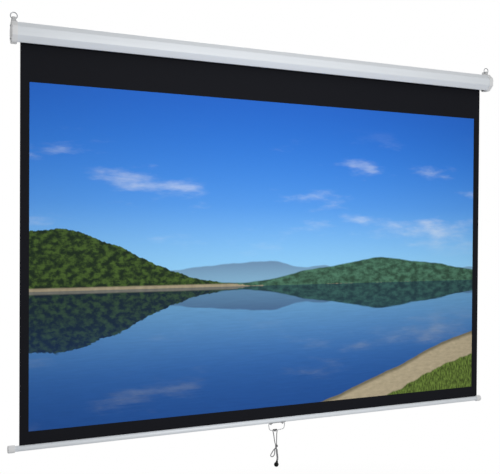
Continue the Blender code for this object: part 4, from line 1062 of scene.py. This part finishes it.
class PROJECTOR_OT_make_sheet(Operator):
    """Make the hanging sheet with its picture area, black borders and black back"""

    bl_idname = "projector.make_sheet"
    bl_label = "Make Sheet"

    def execute(self, context):
        sizes = context.scene.projector_sizes
        picture = picture_material(sizes, context.scene.projector_colours)
        black = finish_named("black_fabric")
        half = sizes.picture_width / 2
        top = AXIS_Z - sizes.picture_drop
        foot = top - sizes.picture_height
        columns = sheet_lines(SHEET_LOW.x, SHEET_HIGH.x, -half, half, sizes.sheet_columns)
        rows = sheet_lines(SHEET_LOW.z, SHEET_HIGH.z, foot, top, sizes.sheet_rows)
        hung = SHEET_HIGH.z - SHEET_LOW.z
        thin = (SHEET_HIGH.y - SHEET_LOW.y) / 2

        def wave(x, z):
            """Slow folds, away from the roll, that die out at the roller and at the bar."""
            down = (SHEET_HIGH.z - z) / hung
            free = min(1.0, max(0.0, (down - FLAT_DROP) / (1 - FLAT_DROP)))
            curl = CURL_SHARE * (abs(x) / SHEET_HIGH.x) ** CURL_POWER * (1 + cos(CURL_TURN * down))
            folds = sum(
                share * (1 + sin(across * x + along * down + start))
                for share, across, along, start in FOLDS
            )
            return sizes.sheet_wave * sin(pi * free) ** 2 * (folds + curl)

        def cloth(name, levels):
            """A closed length of the sheet, between the first and last of its levels."""
            bm = bmesh.new()
            uv = bm.loops.layers.uv.new("Sheet Map")

            def line(offset, z, places):
                return [bm.verts.new((x, SHEET_Y + offset + wave(x, z), z)) for x in places]

            def add_face(corners, shown=False):
                """A face with its place in the sheet's map: picture 0 to 1, cloth in metres."""
                face = bm.faces.new(corners)
                face.material_index = 0 if shown else 1
                for loop in face.loops:
                    x, _, z = loop.vert.co
                    if shown:
                        x, z = (x + half) / (2 * half), (z - foot) / (top - foot)
                    loop[uv].uv = (x, z)

            # each level runs along the front of the cloth and back along its rear
            rings = [line(-thin, z, columns) + line(thin, z, columns[::-1]) for z in levels]
            count = len(columns) - 1
            for low, high, below, above in zip(rings, rings[1:], levels, levels[1:]):
                level = foot < (below + above) / 2 < top
                for i in range(len(low)):
                    j = (i + 1) % len(low)
                    front = i < count and abs(columns[i] + columns[j]) / 2 < half
                    add_face((low[i], low[j], high[j], high[i]), level and front)
            low, high = rings[0], rings[-1]
            for i in range(count):
                add_face((low[i], low[-1 - i], low[-2 - i], low[i + 1]))
                add_face((high[i], high[i + 1], high[-2 - i], high[-1 - i]))
            made = new_piece(name, bm, picture, black)
            smooth_faces(made)
            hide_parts("screen_fabric")
            return made

        # the border at the foot goes up with the bar, and the rest hangs from the case above it
        hem_top = SHEET_HIGH.z - SCREEN_TRAVEL - LEFT_OUT
        hem = cloth("sheet_foot", [SHEET_LOW.z, (SHEET_LOW.z + hem_top) / 2, hem_top - SEAM])
        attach(hem, "bar")
        sheet = cloth("hanging_sheet", [hem_top, *(z for z in rows if z >= foot)])
        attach(sheet, "case")
        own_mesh(sheet)
        return {"FINISHED"}


def swept(tree, curve, section, **inputs):
    """A section drawn along a curve, with closed ends."""
    inputs = {"Curve": curve, "Profile Curve": section, "Fill Caps": True, **inputs}
    return add_node(tree, "GeometryNodeCurveToMesh", inputs)[0]


def moved(tree, geometry, place, turn=(0.0, 0.0, 0.0)):
    """Geometry moved by a vector and turned."""
    inputs = {"Geometry": geometry, "Translation": place, "Rotation": turn}
    return add_node(tree, "GeometryNodeTransform", inputs)[0]


def wound_cloth(tree, given):
    """A strip of cloth wound round the X axis."""
    inputs = {
        "Resolution": 64,
        "Rotations": given["Turns"],
        "Start Radius": given["Outer Radius"],
        "End Radius": given["Inner Radius"],
        "Height": 0.0,
    }
    spiral = add_node(tree, "GeometryNodeCurveSpiral", inputs)
    inputs = {"Width": given["Thickness"], "Height": given["Width"]}
    strip = add_node(tree, "GeometryNodeCurvePrimitiveQuadrilateral", inputs)
    lift = add_node(tree, "ShaderNodeCombineXYZ", {2: given["Axis Height"]})
    return moved(tree, swept(tree, spiral[0], strip[0]), lift[0], (pi / 2, 0.0, pi / 2))


class PROJECTOR_OT_make_roll(Operator):
    """Wind the turns of cloth that stay on the roller"""

    bl_idname = "projector.make_roll"
    bl_label = "Make Roll"

    def execute(self, context):
        thick = SHEET_HIGH.y - SHEET_LOW.y
        outer = (ROLL_HIGH.z - ROLL_LOW.z) / 2
        roll = run_tree(
            "wound_cloth",
            wound_cloth,
            {
                "Outer Radius": outer,
                "Inner Radius": outer - ROLL_DEPTH + thick / 2,
                "Turns": context.scene.projector_sizes.roll_turns,
                "Width": ROLL_HIGH.x - ROLL_LOW.x,
                "Thickness": thick * ROLL_THICKNESS,
                "Axis Height": AXIS_Z,
                "Material": finish_named("black_fabric"),
            },
        )

        def add_map(bm):
            """The sheet's map, in metres along and round the roll."""
            uv = bm.loops.layers.uv.new("Sheet Map")
            for face in bm.faces:
                for loop in face.loops:
                    x, y, z = loop.vert.co
                    loop[uv].uv = (x, atan2(z - AXIS_Z, y) * outer)
            outward(bm)

        rework(roll, add_map)
        smooth_faces(roll)
        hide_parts("fabric_roll")
        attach(roll, "roller")
        return {"FINISHED"}


# The case and its caps

# The slot's reach to the front and the back of the roller's axis, and its turned lips
SLOT_FRONT, SLOT_BACK, LIP = 0.010, 0.026, 0.005

# The caps: their play round the case, the rounding and bevels of their edges, and end wall
CLEARANCE, CAP_EDGE, CAP_BEVEL, CAP_WALL = 0.0003, 0.0025, 0.00035, 0.003

# The bosses: their reach to the front and the back, and their widths at the foot and the top
BOSS_FRONT, BOSS_BACK, BOSS_FOOT, BOSS_TOP = 0.0065, 0.0235, 0.018, 0.0145
# Their corners' radius and its least, and how deep they are sunk in the caps
BOSS_CORNER, LEAST_CORNER, BOSS_SUNK = 0.003, 0.0004, 0.010
# The rings' holes: their height over the caps, and their radius
HOLE_RISE, HOLE_RADIUS = 0.0105, 0.0044

# The screws' holes: their distance from the roller's axis, and their radius
SCREW_RISE, SCREW_HOLE = 0.025, 0.00235

# Steps over the edges of the caps and of the bosses, and the sides of both kinds of hole
CAP_STEPS, BOSS_STEPS, HOLE_SIDES, SCREW_HOLE_SIDES = 7, 6, 40, 28


def octagon(across, corner, steps=8):
    """A regular octagon with rounded corners about the roller's axis, as (y, z) points."""
    reach = (across / 2 - corner) / cos(pi / 8)
    points = []
    for k in range(8):
        middle = pi / 8 + k * pi / 4
        for step in range(steps + 1):
            turn = middle - pi / 8 + (pi / 4) * step / steps
            y = reach * cos(middle) + corner * cos(turn)
            points.append((y, AXIS_Z + reach * sin(middle) + corner * sin(turn)))
    return points


def case_section(sizes):
    """The case's outside in section, from the front slot lip round to the rear one."""
    half = (TUBE_HIGH.z - TUBE_LOW.z) / 2
    rear_z = AXIS_Z - half + (SLOT_BACK - half * (sqrt(2) - 1))
    kept = []
    for y, z in octagon(2 * half, sizes.case_corner)[::-1]:
        open_side = z < AXIS_Z - half / 2 and y > -SLOT_FRONT and (y < SLOT_BACK or z < rear_z)
        if not open_side:
            kept.append((y, z))
    away = [hypot(y + SLOT_FRONT, z - AXIS_Z + half) for y, z in kept]
    start = away.index(min(away))
    slope = LIP / sqrt(2)
    front = [(-SLOT_FRONT, AXIS_Z - half + LIP), (-SLOT_FRONT, AXIS_Z - half)]
    rear = [(SLOT_BACK, rear_z), (SLOT_BACK - slope, rear_z + slope)]
    return front + kept[start:] + kept[:start] + rear


def rolled_section(tree, given):
    """A section's line drawn out along X, as roll forming does."""
    span = add_node(
        tree, "ShaderNodeMath", {0: given["End"], 1: given["Start"]}, operation="SUBTRACT"
    )
    push = add_node(tree, "ShaderNodeCombineXYZ", {0: span[0]})
    inputs = {"Mesh": given["Geometry"], "Offset": push[0], "Offset Scale": 1.0}
    drawn = add_node(tree, "GeometryNodeExtrudeMesh", inputs, mode="EDGES")
    place = add_node(tree, "ShaderNodeCombineXYZ", {0: given["Start"]})
    return moved(tree, drawn[0], place[0])


def add_boolean(obj, bm, operation):
    """Join or cut with a closed tool, and apply it."""
    tool = new_piece(obj.name + "_tool", bm)
    modifier = obj.modifiers.new("Tool", "BOOLEAN")
    modifier.operation, modifier.object, modifier.solver = operation, tool, "EXACT"
    made = applied(obj)
    bpy.data.objects.remove(tool, do_unlink=True)
    return made


def rod_x(radius, start, end, height, steps):
    """A closed round rod along X, in the plane of the roller's axis."""
    ring = [(radius * y, height + radius * z) for y, z in circle(steps)]
    return lofted([[(x, y, z) for y, z in ring] for x in (start, end)])


def rounded_rectangle(half_x, half_y, radius, steps=6):
    """A rectangle about the origin with rounded corners."""
    points = []
    for corner, (sx, sy) in enumerate(((1, 1), (-1, 1), (-1, -1), (1, -1))):
        for step in range(steps + 1):
            turn = (corner + step / steps) * pi / 2
            x, y = radius * cos(turn), radius * sin(turn)
            points.append((sx * (half_x - radius) + x, sy * (half_y - radius) + y))
    return points


def end_cap(name, side, material, sizes):
    """A moulded cap with soft edges, the ring's boss, its socket and its screw holes."""
    outer, inner = CAP_HIGH.y - CAP_LOW.y, TUBE_HIGH.y - TUBE_LOW.y
    length = side * (CAP_HIGH.x - CAP_LOW.x)
    end = side * -CAP_LOW.x
    mouth = end - length
    corner = sizes.case_corner + (outer - inner) / 2 - CLEARANCE
    insets = [(mouth, CLEARANCE), (mouth + side * CLEARANCE, 0.0)]
    insets += [(end - side * back, inset) for back, inset in rounded_edge(CAP_EDGE, CAP_STEPS)]
    cap = new_piece(
        name,
        lofted([[(x, y, z) for y, z in octagon(outer - 2 * i, corner - i)] for x, i in insets]),
        material,
    )

    boss_x, boss_y = (mouth + end) / 2, (BOSS_BACK - BOSS_FRONT) / 2
    foot, high = AXIS_Z + outer / 2, CAP_HIGH.z
    levels = [(foot - BOSS_SUNK, 0.0), (foot, 0.0)]
    levels += [(high - down, inset) for down, inset in rounded_edge(CAP_EDGE, BOSS_STEPS)]
    sections = []
    for z, inset in levels:
        share = min(1.0, (high - z) / (high - foot))
        half_x = (BOSS_TOP + (BOSS_FOOT - BOSS_TOP) * share) / 2 - inset
        half_y = (BOSS_FRONT + BOSS_BACK) / 2 - inset
        outline = rounded_rectangle(half_x, half_y, max(LEAST_CORNER, BOSS_CORNER - inset))
        sections.append([(boss_x + x, boss_y + y, z) for x, y in outline])
    cap = add_boolean(cap, lofted(sections), "UNION")

    socket = octagon(inner + 2 * CLEARANCE, sizes.case_corner + CLEARANCE)
    ends = (mouth - length, end - side * CAP_WALL)
    tools = [lofted([[(x, y, z) for y, z in socket] for x in ends])]
    tools.append(rod_x(HOLE_RADIUS, mouth - length, end + length, foot + HOLE_RISE, HOLE_SIDES))
    for z in (AXIS_Z + SCREW_RISE, AXIS_Z - SCREW_RISE):
        tools.append(rod_x(SCREW_HOLE, boss_x, end + length, z, SCREW_HOLE_SIDES))
    for bm in tools:
        cap = add_boolean(cap, bm, "DIFFERENCE")
    return softened(cap, CAP_BEVEL)


class PROJECTOR_OT_make_case(Operator):
    """Make the rolled octagonal case and its two moulded end caps"""

    bl_idname = "projector.make_case"
    bl_label = "Make Case"

    def execute(self, context):
        sizes = context.scene.projector_sizes
        section = polyline([(0.0, y, z) for y, z in case_section(sizes)])
        values = {"Start": TUBE_LOW.x, "End": TUBE_HIGH.x, "Material": finish_named("white_paint")}
        case = run_tree("rolled_case", rolled_section, values, section)
        wall = case.modifiers.new("Wall", "SOLIDIFY")
        wall.thickness, wall.offset, wall.use_even_offset = sizes.case_wall, -1.0, True
        case = applied(case)
        rework(case, outward)
        smooth_faces(case, radians(30))
        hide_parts("case_tube")
        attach(case, "case")
        for name, side in SIDES:
            cap = end_cap(f"{name}_case_cap", side, finish_named("white_plastic"), sizes)
            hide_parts(f"{name}_end_cap")
            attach(cap, "case")
        return {"FINISHED"}


# Rings and wire

# The welds on the rings: degrees round from the top and degrees wide, and how proud they are
WELD_TURNS = {"left": 112, "right": 248}
WELD_WIDTH, WELD_RISE = 6.5, 0.10

# Steps round a ring, and the sides of all bent wire
RING_STEPS, WIRE_SIDES = 96, 24

# The bail: half the width of its shoulders and their drop, half the gap between its ends,
# and half the straight stretch under the hitch
SHOULDER_X, SHOULDER_DROP, BAIL_END, HITCH_SEAT = 0.0355, 0.0252, 0.0259, 0.013
# The radii of its bends, from one end to the other
BAIL_BENDS = (0.003, 0.008, 0.003, 0.003, 0.008, 0.003)


def bent_wire(tree, given):
    """A round wire along a line of points, thicker where their swell is over 1."""
    line = add_node(tree, "GeometryNodeMeshToCurve", {0: given["Geometry"]})
    swell = add_node(
        tree, "GeometryNodeInputNamedAttribute", {"Name": "swell"}, data_type="FLOAT"
    )
    inputs = {"Resolution": given["Sides"], "Radius": given["Wire Radius"]}
    section = add_node(tree, "GeometryNodeCurvePrimitiveCircle", inputs)
    solid = swept(tree, line[0], section[0], Scale=swell[0])
    return add_node(tree, "GeometryNodeSetShadeSmooth", {0: solid})[0]


def wire_piece(name, points, swell, radius, closed):
    """A piece of round steel wire along the points, thicker where swell is over 1."""
    bm = polyline(points, closed)
    layer = bm.verts.layers.float.new("swell")
    bm.verts.ensure_lookup_table()
    for vert, size in zip(bm.verts, swell):
        vert[layer] = size
    steel = finish_named("zinc_steel")
    values = {"Wire Radius": radius, "Sides": WIRE_SIDES, "Material": steel}
    obj = run_tree(name, bent_wire, values, bm)

    def close_up(bm):
        bmesh.ops.remove_doubles(bm, verts=bm.verts, dist=1e-7)
        outward(bm)

    rework(obj, close_up)
    smooth_faces(obj, radians(40))
    return obj


class PROJECTOR_OT_make_rings(Operator):
    """Bend the two welded hanging rings"""

    bl_idname = "projector.make_rings"
    bl_label = "Make Rings"

    def execute(self, context):
        wire = context.scene.projector_sizes.ring_wire / 2
        for name, _ in SIDES:
            low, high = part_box(f"{name}_hanging_ring")
            centre = (low + high) / 2
            radius = (high.z - low.z) / 2 - wire
            points, swell = [], []
            for i in range(RING_STEPS):
                turn = 2 * pi * i / RING_STEPS
                place = (centre.x + radius * sin(turn), 0.0, centre.z + radius * cos(turn))
                points.append(place)
                # the butt weld stands a little proud, low on the ring's inner side
                apart = degrees(turn) - WELD_TURNS[name]
                swell.append(1.0 + WELD_RISE * exp(-((apart / WELD_WIDTH) ** 2)))
            ring = wire_piece(f"{name}_ring", points, swell, wire, True)
            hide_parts(f"{name}_hanging_ring")
            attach(ring, f"ring_{name}")
        return {"FINISHED"}


def filleted(corners, radii, steps=12):
    """A path through corners in the XZ plane, with each inner corner rounded."""
    path = [corners[0]]
    for before, corner, after, radius in zip(corners, corners[1:], corners[2:], radii):
        legs = [corner + (end - corner).normalized() * radius for end in (before, after)]
        path += [bent(legs[0], corner, legs[1], step / steps) for step in range(steps + 1)]
    return path + [corners[-1]]


class PROJECTOR_OT_make_handle(Operator):
    """Bend the wire bail that the cord is tied to"""

    bl_idname = "projector.make_handle"
    bl_label = "Make Handle"

    def execute(self, context):
        wire = context.scene.projector_sizes.bail_wire
        pivot_z = BAIL_HIGH.z - wire / 2
        half_top = (BAIL_HIGH.x - BAIL_LOW.x) / 2 - wire / 2
        shoulder_z = pivot_z - SHOULDER_DROP
        seat = HITCH_X - HANDLE_X
        corners = [
            (-BAIL_END, pivot_z), (-half_top, pivot_z), (-SHOULDER_X, shoulder_z),
            (seat - HITCH_SEAT, BAIL_Z), (seat + HITCH_SEAT, BAIL_Z),
            (SHOULDER_X, shoulder_z), (half_top, pivot_z), (BAIL_END, pivot_z),
        ]
        corners = [Vector((HANDLE_X + x, SHEET_Y, z)) for x, z in corners]
        path = filleted(corners, BAIL_BENDS)
        bail = wire_piece("bail", path, [1.0] * len(path), wire / 2, False)
        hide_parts("pull_handle")
        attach(bail, "handle")
        return {"FINISHED"}


# Screws

# Head radius, head height, shank radius and length of each kind of screw
CAP_SCREW = (0.00375, 0.0024, 0.002, 0.0075)
BRACKET_SCREW = (0.0028, 0.0016, 0.0015, 0.004)
# The threads' pitch, where they end under the head, and the cap screws' play on the caps
THREAD_PITCH, THREAD_END, SEAT_PLAY = 0.0006, -0.0004, 0.0003
# In shares of the shank's radius: the point's length and radius, and the threads' roots
POINT_LENGTH, POINT_RADIUS, ROOT_RADIUS = 0.7, 0.55, 0.86
# In shares of the pitch: where a thread's crest ends, and where its root is
CREST_END, ROOT_PLACE = 0.45, 0.7
# In shares of the head: the height and inset of its seat's edge, the height under its dome,
# how far in the dome comes, and the flat on its top
SEAT_HEIGHT, SEAT_INSET, DOME_START, DOME_INSET, TOP_FLAT = 0.12, 0.03, 0.35, 0.82, 0.08
# In shares of the head: the recess's arm, its half width, its depth and how far up it is cut,
# and what is left of its size at its floor, on X and on Y
RECESS_ARM, RECESS_WIDTH, RECESS_DEPTH, RECESS_TOP = 0.52, 0.15, 0.62, 1.2
FLOOR_X, FLOOR_Y = 0.55, 0.7
# Steps over the dome, and the screw's sides
DOME_STEPS, SCREW_SIDES = 9, 36


def placed_screws(tree, given):
    """One screw at each point, turned as the point's attribute says."""
    pattern = add_node(tree, "GeometryNodeObjectInfo", {"Object": given["Screw"]})
    facing = add_node(
        tree, "GeometryNodeInputNamedAttribute", {"Name": "facing"}, data_type="FLOAT_VECTOR"
    )
    turn = add_node(tree, "FunctionNodeEulerToRotation", {0: facing[0]})
    inputs = {"Points": given["Geometry"], "Instance": pattern["Geometry"], "Rotation": turn[0]}
    return add_node(tree, "GeometryNodeInstanceOnPoints", inputs)[0]


def screw_pattern(head, height, shank, length):
    """A pan head screw with a cross recess, its seat at the origin and its head up."""
    start, end = -length + shank * POINT_LENGTH, THREAD_END
    profile = [(-length, shank * POINT_RADIUS), (start, shank)]
    threads = max(3, round((length - shank) / THREAD_PITCH))
    step = (end - start) / threads
    for i in range(threads):
        low = start + step * i
        crest, root = low + step * CREST_END, low + step * ROOT_PLACE
        profile += [(crest, shank), (root, shank * ROOT_RADIUS)]
    profile += [(end, shank), (0.0, shank)]
    profile += [(0.0, head * (1 - SEAT_INSET)), (height * SEAT_HEIGHT, head)]
    for i in range(1, DOME_STEPS):
        turn = (pi / 2) * i / DOME_STEPS
        up, inset = DOME_START + (1 - DOME_START) * sin(turn), DOME_INSET * (1 - cos(turn))
        profile.append((height * up, head * (1 - inset)))
    profile.append((height, head * TOP_FLAT))
    screw = new_piece("screw_pattern", turned(profile, SCREW_SIDES))
    arm, width, floor = head * RECESS_ARM, head * RECESS_WIDTH, height * (1 - RECESS_DEPTH)
    for x, y in ((arm, width), (width, arm)):
        sections = ((x * FLOOR_X, y * FLOOR_Y, floor), (x, y, height * RECESS_TOP))
        recess = lofted([[(-a, -b, z), (a, -b, z), (a, b, z), (-a, b, z)] for a, b, z in sections])
        screw = add_boolean(screw, recess, "DIFFERENCE")
    smooth_faces(screw, radians(32))
    return screw


def screws(name, places, kind, nodes, body):
    """One piece of several like screws, each at its (place, facing)."""
    bm = bmesh.new()
    layer = bm.verts.layers.float_vector.new("facing")
    for place, facing in places:
        bm.verts.new(place)[layer] = facing
    pattern = screw_pattern(*kind)
    values = {"Screw": pattern, "Material": finish_named("zinc_steel")}
    obj = run_tree(name, placed_screws, values, bm)
    bpy.data.objects.remove(pattern, do_unlink=True)
    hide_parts(*nodes)
    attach(obj, body)


class PROJECTOR_OT_make_screws(Operator):
    """Set the cross head screws of the end caps and of the handle's bracket"""

    bl_idname = "projector.make_screws"
    bl_label = "Make Screws"

    def execute(self, context):
        places, nodes = [], []
        for name, side in SIDES:
            for level, turn in (("upper", 0.5), ("lower", 1.2)):
                node = f"{name}_cap_screw_{level}"
                low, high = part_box(node)
                place = (side * (-CAP_LOW.x + SEAT_PLAY), 0.0, (low.z + high.z) / 2)
                places.append((place, (0.0, side * pi / 2, turn)))
                nodes.append(node)
        screws("cap_screws", places, CAP_SCREW, nodes, "case")

        places, nodes = [], []
        for name, side in SIDES:
            node = f"{name}_bracket_screw"
            low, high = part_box(node)
            place = ((low.x + high.x) / 2, SHEET_Y, low.z + BRACKET_SCREW[1])
            places.append((place, (pi, 0.0, 0.4 + side)))
            nodes.append(node)
        screws("bracket_screws", places, BRACKET_SCREW, nodes, "bar")
        return {"FINISHED"}


# The bottom bar


def model_copy(node, name):
    """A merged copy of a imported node's mesh, which is loose triangles."""
    bm = bmesh.new()
    bm.from_mesh(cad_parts[node].data)
    bmesh.ops.remove_doubles(bm, verts=bm.verts, dist=1e-6)
    bmesh.ops.dissolve_limit(bm, angle_limit=radians(0.5), verts=bm.verts, edges=bm.edges)
    return new_piece(name, bm)


class PROJECTOR_OT_make_bar(Operator):
    """Make the round bottom bar, its two moulded caps and the handle's bracket"""

    bl_idname = "projector.make_bar"
    bl_label = "Make Bar"

    def execute(self, context):
        pieces = (
            ("bottom_bar", "round_bar", "white_paint", 0.00015),
            ("left_bar_cap", "left_cup", "white_plastic", 0.0003),
            ("right_bar_cap", "right_cup", "white_plastic", 0.0003),
            ("handle_bracket", "saddle", "zinc_steel", 0.00015),
        )
        for node, name, slot, edge in pieces:
            piece = model_copy(node, name)
            piece.data.materials.append(finish_named(slot))
            piece = softened(piece, edge)
            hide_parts(node)
            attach(piece, "bar")
        return {"FINISHED"}


# The inner works


class PROJECTOR_OT_finish_works(Operator):
    """Give the roller, spring motor, lock and plates their finishes"""

    bl_idname = "projector.finish_works"
    bl_label = "Finish Inner Works"

    def execute(self, context):
        finishes = {
            "zinc_steel": (
                "left_bearing_plate", "right_bearing_plate", "spring_shaft", "spring_anchor",
                "lock_ratchet", "roller_tube", "idler_pin", "upper_pawl", "lower_pawl",
                "upper_pawl_pin", "lower_pawl_pin",
            ),
            "spring_steel": ("torsion_spring",),
            "nylon": ("idler_bush",),
            "grey_plastic": ("idler_plug", "lock_plug", "hem_rod"),
        }
        for slot, nodes in finishes.items():
            material = finish_named(slot)
            for node in nodes:
                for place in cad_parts[node].material_slots:
                    place.material = material
        return {"FINISHED"}


class PROJECTOR_PT_screen(Panel):
    """The steps that make the screen, in order, with its sizes and colours"""

    bl_label = "Projector Screen"
    bl_idname = "PROJECTOR_PT_screen"
    bl_space_type = "VIEW_3D"
    bl_region_type = "UI"
    bl_category = "Projector Screen"

    def draw(self, context):
        layout = self.layout
        for step in STEPS:
            layout.operator(step.bl_idname)
        for name in SETTINGS:
            group = getattr(context.scene, name)
            box = layout.box()
            for key in group.__annotations__:
                box.prop(group, key)


STEPS = (
    PROJECTOR_OT_make_stage,
    PROJECTOR_OT_make_cords,
    PROJECTOR_OT_make_sheet,
    PROJECTOR_OT_make_roll,
    PROJECTOR_OT_make_case,
    PROJECTOR_OT_make_rings,
    PROJECTOR_OT_make_handle,
    PROJECTOR_OT_make_screws,
    PROJECTOR_OT_make_bar,
    PROJECTOR_OT_finish_works,
)
SETTINGS = {
    "projector_sizes": ScreenSizes,
    "projector_colours": ScreenColours,
    "projector_stage": StageSettings,
}
CLASSES = (*SETTINGS.values(), *STEPS, PROJECTOR_PT_screen)


def register():
    """Register the classes and hang the settings on the scene."""
    for item in CLASSES:
        bpy.utils.register_class(item)
    for name, group in SETTINGS.items():
        setattr(bpy.types.Scene, name, PointerProperty(type=group))


def unregister():
    """Take the settings and classes away again."""
    for name in SETTINGS:
        delattr(bpy.types.Scene, name)
    for item in reversed(CLASSES):
        bpy.utils.unregister_class(item)


def main():
    """Make everything in order."""
    register()
    for step in STEPS:
        group, name = step.bl_idname.split(".")
        getattr(getattr(bpy.ops, group), name)()


if __name__ == "__main__":
    main()
